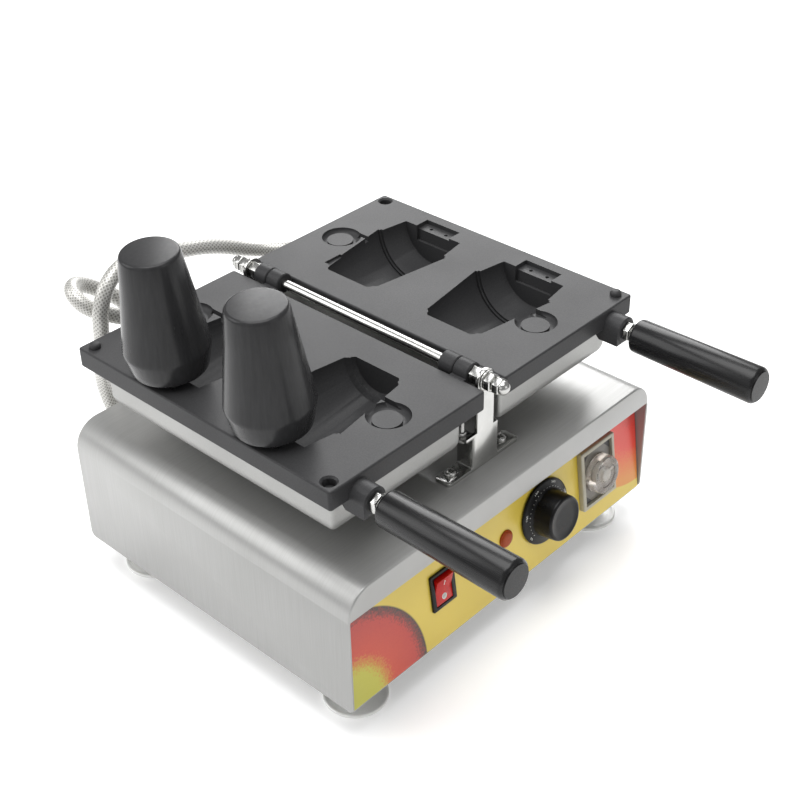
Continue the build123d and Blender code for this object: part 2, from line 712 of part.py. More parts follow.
def bracket_screws():
    """Pan-head screws through the brackets' feet into the casing top."""
    screws = []
    for x, y in bracket_screw_points():
        seat = CASING_TOP + BRACKET_SHEET
        head = rod_z(SCREW_HEAD_RADIUS, seat, seat + SCREW_HEAD_HEIGHT, x, y)
        top = head.edges().filter_by(GeomType.CIRCLE).sort_by(Axis.Z)[-1]
        head = fillet(top, SCREW_HEAD_HEIGHT / 2)
        screws.append(head + rod_z(SCREW_RADIUS, seat - SCREW_LENGTH, seat, x, y))
    return Compound(screws)


def shaft_reach():
    """How far the shaft's thread reaches from the iron's middle, inside the acorn nuts."""
    nuts_end = SHAFT_WASHER + SHAFT_NUT_HEIGHT + SHAFT_THREAD_GAP + ACORN_HEX_HEIGHT
    return BRACKET_FACE + nuts_end - ACORN_THREAD_GAP


def hinge_shaft():
    """The steel shaft through both brackets and the irons' knuckles."""
    return rod_y(SHAFT_RADIUS, IRON_Y - shaft_reach(), IRON_Y + shaft_reach(), 0, SHAFT_Z)


def shaft_washers():
    """A flat washer outside each bracket."""
    washers = []
    for side in (-1, 1):
        y0 = IRON_Y + side * BRACKET_FACE
        washer = rod_y(SHAFT_WASHER_RADIUS, y0, y0 + side * SHAFT_WASHER, 0, SHAFT_Z)
        bore = rod_y(SHAFT_RADIUS + RUNNING_FIT, y0 - 2 * SHAFT_WASHER, y0 + 2 * SHAFT_WASHER, 0, SHAFT_Z)
        washers.append(washer - bore)
    return Compound(washers)


def shaft_nuts():
    """Hexagon nuts on both sides of each bracket's ear, with acorn nuts at the shaft's ends."""
    nuts = []
    reach = shaft_reach() + SHAFT_END_GAP
    bore = rod_y(SHAFT_RADIUS + RUNNING_FIT, IRON_Y - reach, IRON_Y + reach, 0, SHAFT_Z)
    knuckles_end = KNUCKLE_START + 2 * KNUCKLE_WIDTH + KNUCKLE_GAP
    ear_back = BRACKET_FACE - BRACKET_SHEET
    outside = BRACKET_FACE + SHAFT_WASHER
    acorn = outside + SHAFT_NUT_HEIGHT + SHAFT_THREAD_GAP
    for side in (-1, 1):
        inner = hex_y(
            SHAFT_NUT_RADIUS,
            IRON_Y + side * (knuckles_end + SEAT), IRON_Y + side * ear_back, 0, SHAFT_Z,
        )
        outer = hex_y(
            SHAFT_NUT_RADIUS,
            IRON_Y + side * outside, IRON_Y + side * (outside + SHAFT_NUT_HEIGHT), 0, SHAFT_Z,
        )
        cap = hex_y(
            ACORN_RADIUS,
            IRON_Y + side * acorn, IRON_Y + side * (acorn + ACORN_HEX_HEIGHT), 0, SHAFT_Z,
        )
        cap += Pos(0, IRON_Y + side * (acorn + ACORN_HEX_HEIGHT), SHAFT_Z) * Sphere(ACORN_DOME_RADIUS)
        nuts += [inner - bore, outer - bore, cap - bore]
    return Compound(nuts)


def mould_profile(offset):
    """Half the lying cup mould's outline, (distance from shaft, radius), grown by offset."""
    foot = CUP_START - offset
    land = CUP_RIM + offset / 2
    end = CUP_END + offset
    return [
        (foot, 0),
        (foot, CUP_FOOT_RADIUS - CUP_FOOT_STEP + offset),
        (foot + CUP_FOOT_STEP, CUP_FOOT_RADIUS + offset),
        (foot + CUP_FOOT_STEP + CUP_FOOT_LAND, CUP_FOOT_RADIUS + offset),
        (foot + 2 * CUP_FOOT_STEP + CUP_FOOT_LAND, CUP_BASE_RADIUS + offset),
        (CUP_RIM, CUP_RIM_RADIUS + offset),
        (land, CUP_LAND_RADIUS + offset),
        (land + CUP_LAND_WIDTH, CUP_LAND_RADIUS + offset),
        (land + CUP_LAND_WIDTH, SEAL_RADIUS + offset),
        (end, SEAL_END_RADIUS + offset),
        (end, 0),
    ]


def mould_solid(offset, y):
    """The cup mould's space, or its cast wall when grown by offset, as a full turned solid."""
    outline = make_face(Polyline(*mould_profile(offset), close=True))
    return Pos(0, IRON_Y + y, SHAFT_Z + PLATE_TOP) * revolve(outline, Axis.X)


def ear_groove(y, side_shift):
    """The groove for the cup's ear: a round hollow beside the mould, left round a flat disc."""
    outward = -1 if y < 0 else 1
    centre_y = IRON_Y + y + outward * EAR_Y
    top = SHAFT_Z + PLATE_TOP
    ring = rod_z(
        EAR_RING_RADIUS, top - EAR_DEPTH, top + CUT_OVER,
        EAR_T + side_shift * EAR_SHIFT_X, centre_y + EAR_SHIFT_Y,
    )
    floor = ring.edges().filter_by(GeomType.CIRCLE).sort_by(Axis.Z)[0]
    ring = fillet(floor, EAR_DEPTH / 2)
    return ring - rod_z(EAR_DISC_RADIUS, top - 2 * EAR_DEPTH, top + 2 * CUT_OVER, EAR_T, centre_y)


def knuckle(y0, outward):
    """One knuckle on the shaft with its web to the plate, starting y0 from the iron's middle."""
    y1 = y0 + outward * KNUCKLE_WIDTH
    bar = rod_y(KNUCKLE_RADIUS, IRON_Y + y0, IRON_Y + y1, 0, SHAFT_Z)
    web = iron_block(0, PLATE_INNER + KNUCKLE_ROOT, y0, y1, PLATE_TOP - KNUCKLE_WEB_DEPTH, PLATE_TOP)
    return bar + web


def handle_boss():
    """The boss on the plate's front edge for the handle's rod: round on top, square below."""
    axis_z = SHAFT_Z - HANDLE_DROP
    front = IRON_Y + BOSS_FRONT
    root = IRON_Y - PLATE_LENGTH / 2 + BOSS_ROOT
    low = axis_z - BOSS_RADIUS
    high = SHAFT_Z + PLATE_UNDER + CUT_OVER
    boss = rod_y(BOSS_RADIUS, front, root, HANDLE_T, axis_z)
    boss += block(HANDLE_T - BOSS_RADIUS, HANDLE_T + BOSS_RADIUS, front, root, low, axis_z)
    behind = block(
        HANDLE_T - BOSS_RADIUS, HANDLE_T + BOSS_RADIUS,
        root - BOSS_ROOT / 2, root + BOSS_RADIUS, low, high,
    )
    lower = behind.edges().filter_by(Axis.X).group_by(Axis.Z)[0].sort_by(Axis.Y)[-1]
    return boss + chamfer(lower, high - low - BOSS_HEEL)


def mould_plate(front_start, back_start, ear_side, peg_y):
    """One iron's cast plate in the right iron's place.

    front_start and back_start say where its knuckles begin, ear_side which way the ear grooves
    are drawn, and peg_y at which end its locating peg stands, with the hole at the other end.
    """
    half = PLATE_LENGTH / 2
    slab = iron_block(PLATE_INNER, PLATE_OUTER, -half, half, PLATE_UNDER, PLATE_TOP)
    slab = fillet(slab.edges().filter_by(Axis.Z), PLATE_CORNER)
    slab = chamfer(slab.faces().sort_by(Axis.Z)[-1].edges(), PLATE_EDGE)
    plate = slab
    keep = iron_block(0, PLATE_OUTER, -half, half, -2 * CUP_RIM_RADIUS, PLATE_TOP)
    for y in CUP_CENTRES:
        plate += mould_solid(MOULD_WALL, y) & keep
    plate += handle_boss()
    plate += knuckle(-front_start, -1)
    plate += knuckle(back_start, 1)
    for t, y in COVER_BOSSES:
        plate += rod_z(
            COVER_BOSS_RADIUS, SHAFT_Z + COVER_BOTTOM + COVER_SHEET, SHAFT_Z + PLATE_UNDER + CUT_OVER,
            t, IRON_Y + y,
        )
    for y in CUP_CENTRES:
        plate -= mould_solid(0, y)
        plate -= ear_groove(y, ear_side)
        plate -= iron_block(
            CUP_END - RECESS_LAP, CUP_END + RECESS_LENGTH, y - RECESS_HALF, y + RECESS_HALF,
            PLATE_TOP - RECESS_DEPTH, PLATE_TOP + CUT_OVER,
        )
        plate -= iron_block(
            CUP_END - RECESS_LAP, CUP_END + POCKET_LENGTH, y - RECESS_HALF, y + RECESS_HALF,
            PLATE_TOP - POCKET_DEPTH, PLATE_TOP + CUT_OVER,
        )
        for dy in (-LEAF_HOLE_Y, LEAF_HOLE_Y):
            floor = SHAFT_Z + PLATE_TOP - RECESS_DEPTH
            plate -= rod_z(
                LEAF_HOLE_RADIUS, floor - LEAF_HOLE_DEPTH, floor + CUT_OVER, LEAF_HOLE_T, IRON_Y + y + dy
            )
    for t, y in COVER_BOSSES:
        bottom = SHAFT_Z + COVER_BOTTOM
        plate -= rod_z(SCREW_RADIUS + HOLE_CLEARANCE, bottom, bottom + COVER_BOSS_DEPTH, t, IRON_Y + y)
    plate -= rod_y(SHAFT_RADIUS + RUNNING_FIT, IRON_Y - half, IRON_Y + half, 0, SHAFT_Z)
    plate -= rod_y(
        ROD_RADIUS + HOLE_CLEARANCE, IRON_Y + BOSS_FRONT - CUT_OVER, IRON_Y + BOSS_FRONT + BOSS_BORE_DEPTH,
        HANDLE_T, SHAFT_Z - HANDLE_DROP,
    )
    top = SHAFT_Z + PLATE_TOP
    plate -= rod_z(PEG_RADIUS - PEG_STEP, top - PEG_ROOT, top + CUT_OVER, PEG_T, IRON_Y + peg_y)
    plate -= rod_z(PEG_HOLE_RADIUS, top - PEG_HOLE_DEPTH, top + CUT_OVER, PEG_T, IRON_Y - peg_y)
    countersink = Cone(PEG_HOLE_RADIUS, PEG_HOLE_RADIUS + PEG_COUNTERSINK, PEG_COUNTERSINK)
    plate -= Pos(PEG_T, IRON_Y - peg_y, top - PEG_COUNTERSINK / 2) * countersink
    return plate


def locating_peg(peg_y):
    """The domed peg that lines up the closed irons."""
    top = SHAFT_Z + PLATE_TOP
    peg = turned([
        (0, PEG_ROOT_GAP - PEG_ROOT),
        (PEG_RADIUS - PEG_STEP, PEG_ROOT_GAP - PEG_ROOT),
        (PEG_RADIUS - PEG_STEP, 0),
        (PEG_RADIUS, 0),
        (PEG_RADIUS, PEG_HEIGHT),
        (0, PEG_HEIGHT),
    ])
    crown = peg.edges().filter_by(GeomType.CIRCLE).sort_by(Axis.Z)[-1]
    return Pos(PEG_T, IRON_Y + peg_y, top) * fillet(crown, PEG_ROUNDING)


def cover_block(inset):
    """The heater cover's form, drawn in by inset, with its rolled bottom edges."""
    box = iron_block(
        COVER_INNER + inset, COVER_OUTER - inset,
        -COVER_HALF_LENGTH + inset, COVER_HALF_LENGTH - inset,
        COVER_BOTTOM + inset, PLATE_UNDER + (CUT_OVER if inset else 0),
    )
    box = fillet(box.edges().filter_by(Axis.Z), COVER_SIDE_CORNER - inset)
    rim = box.faces().sort_by(Axis.Z)[0].edges()
    return fillet(rim, COVER_BEND - inset)


def heater_cover(gland_t):
    """The sheet pan under one iron, open at the top, with screw holes and a hose outlet."""
    cover = cover_block(0) - cover_block(COVER_SHEET)
    below = SHAFT_Z + COVER_BOTTOM - CUT_OVER
    above = SHAFT_Z + COVER_BOTTOM + 2 * COVER_SHEET
    for t, y in COVER_BOSSES:
        cover -= rod_z(SCREW_RADIUS + HOLE_CLEARANCE, below, above, t, IRON_Y + y)
    back = IRON_Y + COVER_HALF_LENGTH
    neck = GLAND_NECK_RADIUS + HOLE_CLEARANCE
    cover -= rod_y(neck, back - GLAND_TAIL, back + CUT_OVER, gland_t, SHAFT_Z - IRON_GLAND_DROP)
    return cover


def cover_screws():
    """Pan-head screws from below through the cover into the plate's bosses."""
    screws = []
    bottom = SHAFT_Z + COVER_BOTTOM
    for t, y in COVER_BOSSES:
        head = rod_z(SCREW_HEAD_RADIUS, bottom - SCREW_HEAD_HEIGHT, bottom, t, IRON_Y + y)
        screws.append(head + rod_z(SCREW_RADIUS, bottom, bottom + SCREW_LENGTH, t, IRON_Y + y))
    return Compound(screws)


def heater_element():
    """The tubular heating element bent round the moulds under the plate."""
    z = SHAFT_Z + PLATE_UNDER - HEATER_RADIUS - SEAT / 3
    path = FilletPolyline(
        (HEATER_OUTER, IRON_Y + HEATER_LANE, z),
        (HEATER_INNER, IRON_Y + HEATER_LANE, z),
        (HEATER_INNER, IRON_Y - HEATER_LANE, z),
        (HEATER_OUTER, IRON_Y - HEATER_LANE, z),
        radius=HEATER_BEND,
    )
    section = Plane(origin=path @ 0, z_dir=path % 0) * Circle(HEATER_RADIUS)
    return sweep(section, path)


def insulation_pad():
    """The ceramic wool pad on the cover's floor, with holes for the plate's bosses."""
    floor = COVER_BOTTOM + COVER_SHEET
    pad = iron_block(
        COVER_INNER + INSULATION_EDGE, COVER_OUTER - INSULATION_EDGE,
        -COVER_HALF_LENGTH + INSULATION_EDGE, COVER_HALF_LENGTH - INSULATION_EDGE,
        floor, floor + INSULATION,
    )
    for t, y in COVER_BOSSES:
        hole = COVER_BOSS_RADIUS + INSULATION_FIT
        pad -= rod_z(hole, SHAFT_Z + floor - CUT_OVER, SHAFT_Z + floor + 2 * INSULATION, t, IRON_Y + y)
    return pad


def handle_rod():
    """The threaded rod from the boss into the grip."""
    front = IRON_Y + BOSS_FRONT
    grip_end = front - HANDLE_NUT_HEIGHT - GRIP_START_GAP - GRIP_BORE_DEPTH + SCREW_TIP_GAP
    boss_end = front + BOSS_BORE_DEPTH - SCREW_TIP_GAP
    return rod_y(ROD_RADIUS, grip_end, boss_end, HANDLE_T, SHAFT_Z - HANDLE_DROP)


def handle_nut():
    """The lock nut against the boss."""
    front = IRON_Y + BOSS_FRONT
    end = front - HANDLE_NUT_HEIGHT
    nut = hex_y(HANDLE_NUT_RADIUS, front, end, HANDLE_T, SHAFT_Z - HANDLE_DROP)
    radius = ROD_RADIUS + HOLE_CLEARANCE
    return nut - rod_y(radius, front + CUT_OVER, end - CUT_OVER, HANDLE_T, SHAFT_Z - HANDLE_DROP)


def handle_grip():
    """The turned grip: a slow taper with rolled ends, bored for the rod and the end cap."""
    start = IRON_Y + BOSS_FRONT - HANDLE_NUT_HEIGHT - GRIP_START_GAP
    grip = Cone(GRIP_START_RADIUS, GRIP_END_RADIUS, GRIP_LENGTH)
    grip = fillet(grip.edges().filter_by(GeomType.CIRCLE), GRIP_FILLET)
    grip -= Pos(0, 0, GRIP_LENGTH / 2) * Cylinder(CAP_RADIUS, 2 * (CAP_THICKNESS - CAP_PROUD))
    grip -= Pos(0, 0, -GRIP_LENGTH / 2) * Cylinder(ROD_RADIUS + HOLE_CLEARANCE, 2 * GRIP_BORE_DEPTH)
    return Pos(HANDLE_T, start - GRIP_LENGTH / 2, SHAFT_Z - HANDLE_DROP) * Rot(90, 0, 0) * grip


def grip_cap():
    """The flat cap pressed into the grip's end."""
    end = IRON_Y + GRIP_FRONT
    inside = end + CAP_THICKNESS - CAP_PROUD
    cap = rod_y(CAP_RADIUS - RUNNING_FIT, end - CAP_PROUD, inside, HANDLE_T, SHAFT_Z - HANDLE_DROP)
    rim = cap.edges().filter_by(GeomType.CIRCLE).sort_by(Axis.Y)[0]
    return fillet(rim, CAP_ROUNDING)


def gland(radius_tail):
    """A hose gland along its own Z: flange nut on the wall at Z = 0, ferrule, and tail inside."""
    body = hex_z(GLAND_RADIUS, 0, GLAND_FLANGE)
    ferrule = Cone(GLAND_RADIUS - GLAND_FLANGE_EDGE, HOSE_RADIUS + FERRULE_WALL, GLAND_LENGTH)
    body += Pos(0, 0, GLAND_FLANGE + GLAND_LENGTH / 2) * ferrule
    body += Pos(0, 0, -GLAND_TAIL / 2) * Cylinder(radius_tail, GLAND_TAIL)
    return body - Cylinder(radius_tail - GLAND_WALL, 4 * GLAND_LENGTH)


def back_gland(x, y, z):
    """A gland on a rear wall, pointing back."""
    return Pos(x, y, z) * Rot(-90, 0, 0) * gland(GLAND_NECK_RADIUS)


def iron_gland(gland_t):
    """The gland on one heater cover's back wall, shorter than the casing's."""
    flange = hex_z(GLAND_RADIUS, 0, GLAND_FLANGE)
    length = iron_gland_reach() - GLAND_FLANGE
    flange += Pos(0, 0, GLAND_FLANGE + length / 2) * Cylinder(HOSE_RADIUS + IRON_FERRULE_WALL, length)
    flange += Pos(0, 0, -GLAND_TAIL / 2) * Cylinder(GLAND_NECK_RADIUS, GLAND_TAIL)
    flange -= Cylinder(GLAND_NECK_RADIUS - GLAND_WALL, 4 * iron_gland_reach())
    y = IRON_Y + COVER_HALF_LENGTH
    return Pos(gland_t, y, SHAFT_Z - IRON_GLAND_DROP) * Rot(-90, 0, 0) * flange


def iron_gland_reach():
    """How far an iron's gland stands out of its cover: past the plate's back edge."""
    return PLATE_LENGTH / 2 - COVER_HALF_LENGTH + IRON_GLAND_PROUD


def hose(points):
    """A hose of straight runs joined by arcs, each as large as its two runs allow."""
    corners = [Vector(*p) for p in points]
    radii = []
    for a, b, c in zip(corners, corners[1:], corners[2:]):
        turn = radians((b - a).get_angle(c - b))
        shorter = min((b - a).length, (c - b).length)
        radii.append(HOSE_ARC_SHARE * shorter / tan(turn / 2))
    path = FilletPolyline(*points, radius=radii)
    section = Plane(origin=path @ 0, z_dir=path % 0) * Circle(HOSE_RADIUS)
    print("hose radii", [round(r) for r in radii], "length", round(path.length))
    return sweep(section, path)


def hose_ends(gland_x, outlet_x):
    """A hose's two ends: at an iron's gland and at the casing's outlet."""
    iron_y = IRON_Y + COVER_HALF_LENGTH + iron_gland_reach() + RUNNING_FIT
    casing_y = CASING_DEPTH / 2 + GLAND_FLANGE + GLAND_LENGTH
    start = (gland_x, iron_y, SHAFT_Z - IRON_GLAND_DROP)
    end = (outlet_x, casing_y, CASING_BOTTOM + CASING_GLAND_RISE)
    return start, end


def right_hose():
    """The hose to the right iron: a high arc across the back of both irons."""
    start, end = hose_ends(RIGHT_GLAND_T, RIGHT_HOSE_OUTLET_X)
    leave = (RIGHT_GLAND_T, RIGHT_HOSE_LEAVE_Y, start[2])
    arrive = (RIGHT_HOSE_OUTLET_X, RIGHT_HOSE_ARRIVE_Y, end[2])
    return hose([start, leave, *RIGHT_HOSE_PATH, arrive, end])


def left_hose():
    """The hose to the left iron: doubled back in a fold behind the first."""
    start, end = hose_ends(-LEFT_GLAND_T, LEFT_HOSE_OUTLET_X)
    leave = (-LEFT_GLAND_T, LEFT_HOSE_LEAVE_Y, start[2])
    arrive = (LEFT_HOSE_OUTLET_X, LEFT_HOSE_ARRIVE_Y, end[2])
    return hose([start, leave, *LEFT_HOSE_PATH, arrive, end])


def core_profile():
    """The core's outline, (distance from its base, radius)."""
    return [
        (0, 0),
        (0, CORE_BASE_RADIUS),
        (CORE_WIDE_AT, CORE_WIDE_RADIUS),
        (CORE_LENGTH, CORE_TIP_RADIUS),
        (CORE_LENGTH, 0),
    ]


def raise_core(shape):
    """Swing a lying core up about its hinge pin to where it stands."""
    return shape.rotate(Axis((CORE_PIVOT_X, 0, CORE_PIVOT_Z), (0, 1, 0)), -90 - CORE_LEAN)


def core(y):
    """One cup core, standing, with the hinge lug on its base."""
    body = turned([(r, s) for s, r in core_profile()])
    rims = body.edges().filter_by(GeomType.CIRCLE).sort_by(Axis.Z)
    body = fillet(rims[-1], CORE_TIP_FILLET)
    body = fillet(body.edges().filter_by(GeomType.CIRCLE).sort_by(Axis.Z)[0], CORE_BASE_FILLET)
    lying = Pos(-CORE_BASE_T, IRON_Y + y, SHAFT_Z + PLATE_TOP) * Rot(0, 90, 0) * body
    lug = block(
        CORE_PIVOT_X, -CORE_BASE_T + LUG_ROOT, IRON_Y + y - LUG_HALF, IRON_Y + y + LUG_HALF,
        CORE_PIVOT_Z - BARREL_RADIUS, CORE_PIVOT_Z + BARREL_RADIUS,
    )
    lug += rod_y(BARREL_RADIUS, IRON_Y + y - LUG_HALF, IRON_Y + y + LUG_HALF, CORE_PIVOT_X, CORE_PIVOT_Z)
    lying += lug
    lying -= rod_y(
        CORE_PIN_RADIUS + RUNNING_FIT, IRON_Y + y - 2 * LUG_HALF, IRON_Y + y + 2 * LUG_HALF,
        CORE_PIVOT_X, CORE_PIVOT_Z,
    )
    return raise_core(lying)


def core_hinge_leaves():
    """The hinge leaves in the left iron's recesses, each with two barrels for the core's pin."""
    leaves = []
    floor = SHAFT_Z + PLATE_TOP - RECESS_DEPTH
    far = -(CUP_END + RECESS_LENGTH - LEAF_EDGE_GAP)
    for y in CUP_CENTRES:
        middle = IRON_Y + y
        half = RECESS_HALF - LEAF_EDGE_GAP
        leaf = block(CORE_PIVOT_X, far, middle - half, middle + half, floor, floor + LEAF_THICKNESS)
        for side in (-1, 1):
            y0 = middle + side * (LUG_HALF + BARREL_GAP)
            y1 = middle + side * BARREL_END
            leaf += rod_y(BARREL_RADIUS, y0, y1, CORE_PIVOT_X, CORE_PIVOT_Z)
            leaf += block(CORE_PIVOT_X, CORE_PIVOT_X - BARREL_RADIUS, y0, y1, floor, CORE_PIVOT_Z)
            leaf -= rod_z(
                LEAF_HOLE_RADIUS, floor - CUT_OVER, floor + 2 * LEAF_THICKNESS,
                -LEAF_HOLE_T, middle + side * LEAF_HOLE_Y,
            )
        leaf -= rod_y(
            CORE_PIN_RADIUS + RUNNING_FIT, middle - 2 * BARREL_END, middle + 2 * BARREL_END,
            CORE_PIVOT_X, CORE_PIVOT_Z,
        )
        leaves.append(leaf)
    return Compound(leaves)


def core_leaf_screws():
    """The screws that hold the hinge leaves down."""
    screws = []
    floor = SHAFT_Z + PLATE_TOP - RECESS_DEPTH
    seat = floor + LEAF_THICKNESS
    for y in CUP_CENTRES:
        for dy in (-LEAF_HOLE_Y, LEAF_HOLE_Y):
            place = (-LEAF_HOLE_T, IRON_Y + y + dy)
            tip = floor - LEAF_HOLE_DEPTH + SCREW_TIP_GAP
            screw = rod_z(LEAF_HOLE_RADIUS - RUNNING_FIT, tip, seat, *place)
            screws.append(screw + rod_z(LEAF_SCREW_HEAD, seat, seat + LEAF_SCREW_HEAD_HEIGHT, *place))
    return Compound(screws)


def core_pins():
    """The pins the cores swing on."""
    pins = []
    for y in CUP_CENTRES:
        middle = IRON_Y + y
        y0, y1 = middle - BARREL_END, middle + BARREL_END
        pins.append(rod_y(CORE_PIN_RADIUS, y0, y1, CORE_PIVOT_X, CORE_PIVOT_Z))
    return Compound(pins)


def switch_housing():
    """The rocker switch's bezel and body, open at the front for the rocker."""
    top = OVERLAY_THICKNESS
    bezel = Pos(0, 0, top + SWITCH_BEZEL / 2) * Box(SWITCH_WIDTH, SWITCH_HEIGHT, SWITCH_BEZEL)
    bezel = fillet(bezel.edges().filter_by(Axis.Z), SWITCH_CORNER)
    width = SWITCH_WIDTH - 2 * SWITCH_FRAME - 2 * CUT_CLEARANCE
    height = SWITCH_HEIGHT - 2 * SWITCH_END_FRAME - 2 * CUT_CLEARANCE
    body_width = width + 2 * SWITCH_BODY_LAP
    body = Pos(0, 0, top - SWITCH_BODY_DEPTH / 2) * Box(body_width, height, SWITCH_BODY_DEPTH)
    cavity_top = top + SWITCH_BEZEL + CUT_OVER
    cavity = Pos(0, 0, (cavity_top - SWITCH_FLOOR) / 2) * Box(
        SWITCH_CAVITY_WIDTH, SWITCH_CAVITY_HEIGHT, cavity_top + SWITCH_FLOOR
    )
    pivot = Rot(0, 90, 0) * Cylinder(ROCKER_PIN_RADIUS + RUNNING_FIT, width - 2 * SWITCH_BODY_LAP)
    pivot = Pos(0, 0, top - ROCKER_PIVOT_DROP) * pivot
    return on_panel(bezel + body - cavity - pivot, SWITCH_U, CONTROL_V)


def rocker():
    """The rocker at rest with its lower end pressed, on two small trunnions."""
    profile = Polyline(
        (-ROCKER_HALF, -ROCKER_DROP),
        (-ROCKER_HALF, ROCKER_END_RISE),
        (0, ROCKER_MID_RISE),
        (ROCKER_HALF, ROCKER_END_RISE),
        (ROCKER_HALF, -ROCKER_DROP),
        close=True,
    )
    side = Plane(origin=(-ROCKER_WIDTH / 2, 0, 0), x_dir=(0, 1, 0), z_dir=(1, 0, 0))
    body = extrude(side * make_face(profile), ROCKER_WIDTH)
    pin_length = ROCKER_WIDTH + 2 * ROCKER_PIN_REACH
    body += Pos(0, 0, -ROCKER_PIVOT_DROP) * Rot(0, 90, 0) * Cylinder(ROCKER_PIN_RADIUS, pin_length)
    body = body.rotate(Axis((0, 0, -ROCKER_PIVOT_DROP), (1, 0, 0)), ROCKER_TILT)
    return on_panel(Pos(0, 0, OVERLAY_THICKNESS) * body, SWITCH_U, CONTROL_V)


def buzzer():
    """The time-up buzzer: a round rim with a slotted front, and its body behind the panel."""
    top = OVERLAY_THICKNESS
    rim = Pos(0, 0, top + BUZZER_RIM / 2) * Cylinder(BUZZER_RADIUS, BUZZER_RIM)
    rim = fillet(rim.edges().filter_by(GeomType.CIRCLE).sort_by(Axis.Z)[-1], BUZZER_RIM / 3)
    for row in (-1, 0, 1):
        slot = Box(BUZZER_RADIUS, BUZZER_SLOT_WIDTH, BUZZER_RIM)
        rim -= Pos(0, row * BUZZER_SLOT_PITCH, top + BUZZER_RIM) * slot
    body = Pos(0, 0, top - BUZZER_DEPTH / 2) * Cylinder(BUZZER_BODY_RADIUS, BUZZER_DEPTH)
    return on_panel(rim + body, BUZZER_U, CONTROL_V)


def pilot_lamp():
    """The pilot lamp: a low domed lens and its body behind the panel."""
    top = OVERLAY_THICKNESS
    lens = turned([
        (0, top),
        (LAMP_RADIUS, top),
        (LAMP_RADIUS, top + LAMP_RIM_RISE),
        (LAMP_DOME_RADIUS, top + LAMP_DOME_RISE),
        (LAMP_TOP_RADIUS, top + LAMP_RISE),
        (0, top + LAMP_RISE),
    ])
    body = Pos(0, 0, top - LAMP_DEPTH / 2) * Cylinder(LAMP_BODY_RADIUS, LAMP_DEPTH)
    return on_panel(lens + body, LAMP_U, CONTROL_V)


def thermostat_body():
    """The capillary thermostat behind the panel, bored for the turning stem."""
    body = Box(THERMOSTAT_BODY, THERMOSTAT_BODY, THERMOSTAT_DEPTH)
    body = Pos(0, 0, -PANEL_SHEET - THERMOSTAT_DEPTH / 2) * body
    body = fillet(body.edges().filter_by(Axis.Z), THERMOSTAT_CORNER)
    body -= Pos(0, 0, -PANEL_SHEET) * Cylinder(CONTROL_STEM_RADIUS + RUNNING_FIT, 2 * THERMOSTAT_BORE)
    return on_panel(body, THERMOSTAT_U, CONTROL_V)


def thermostat_stem():
    """The stem between the thermostat and its knob."""
    low = SEAT - PANEL_SHEET - THERMOSTAT_BORE
    high = OVERLAY_THICKNESS + SKIRT_GAP + STEM_BORE_DEPTH - SEAT
    stem = Pos(0, 0, (low + high) / 2) * Cylinder(CONTROL_STEM_RADIUS, high - low)
    return on_panel(stem, THERMOSTAT_U, CONTROL_V)


def thermostat_knob():
    """The temperature knob: a wide scale skirt and a round grip with a dished face."""
    base = OVERLAY_THICKNESS + SKIRT_GAP
    skirt_top = base + SKIRT_THICKNESS
    knob = turned([
        (0, base),
        (SKIRT_RADIUS, base),
        (SKIRT_RADIUS, base + SKIRT_EDGE),
        (SKIRT_RADIUS - SKIRT_BEVEL, skirt_top - SKIRT_SLOPE),
        (KNOB_RADIUS + KNOB_FLARE, skirt_top + SKIRT_SLOPE),
        (KNOB_RADIUS, skirt_top + KNOB_FLARE_RISE),
        (KNOB_TOP_RADIUS, KNOB_RISE),
        (0, KNOB_RISE),
    ])
    knob = fillet(knob.edges().filter_by(GeomType.CIRCLE).sort_by(Axis.Z)[-1], KNOB_FILLET)
    knob -= Pos(0, 0, KNOB_RISE) * Cylinder(KNOB_TOP_RADIUS - 3 * KNOB_FILLET, 2 * KNOB_DISH)
    stem_bore = Cylinder(CONTROL_STEM_RADIUS + RUNNING_FIT, STEM_BORE_DEPTH)
    knob -= Pos(0, 0, base + STEM_BORE_DEPTH / 2) * stem_bore
    return on_panel(knob, THERMOSTAT_U, CONTROL_V)


def timer_frame():
    """The timer's front frame, standing on the panel round the sunk face."""
    top = OVERLAY_THICKNESS
    frame = Pos(0, 0, top + TIMER_FRAME_RISE / 2) * Box(TIMER_WIDTH, TIMER_HEIGHT, TIMER_FRAME_RISE)
    frame = fillet(frame.edges().filter_by(Axis.Z), TIMER_FRAME_CORNER)
    frame = chamfer(frame.faces().sort_by(Axis.Z)[-1].edges(), TIMER_FRAME_BEVEL)
    width = TIMER_WIDTH - 2 * TIMER_FRAME_BORDER
    height = TIMER_HEIGHT - 2 * TIMER_FRAME_BORDER
    inner = Box(width, height, 4 * TIMER_FRAME_RISE)
    return on_panel(frame - inner, TIMER_U, CONTROL_V)


def timer_face():
    """The timer's face plate, sunk in the frame, bored for the knob's hub."""
    width = TIMER_WIDTH - 2 * (TIMER_FRAME_BORDER + TIMER_FACE_GAP)
    height = TIMER_HEIGHT - 2 * (TIMER_FRAME_BORDER + TIMER_FACE_GAP)
    face = Pos(0, 0, OVERLAY_THICKNESS + TIMER_FACE_RISE / 2) * Box(width, height, TIMER_FACE_RISE)
    face -= Cylinder(CONTROL_STEM_RADIUS + RUNNING_FIT, 4 * TIMER_FRAME_RISE)
    return on_panel(face, TIMER_U, CONTROL_V)


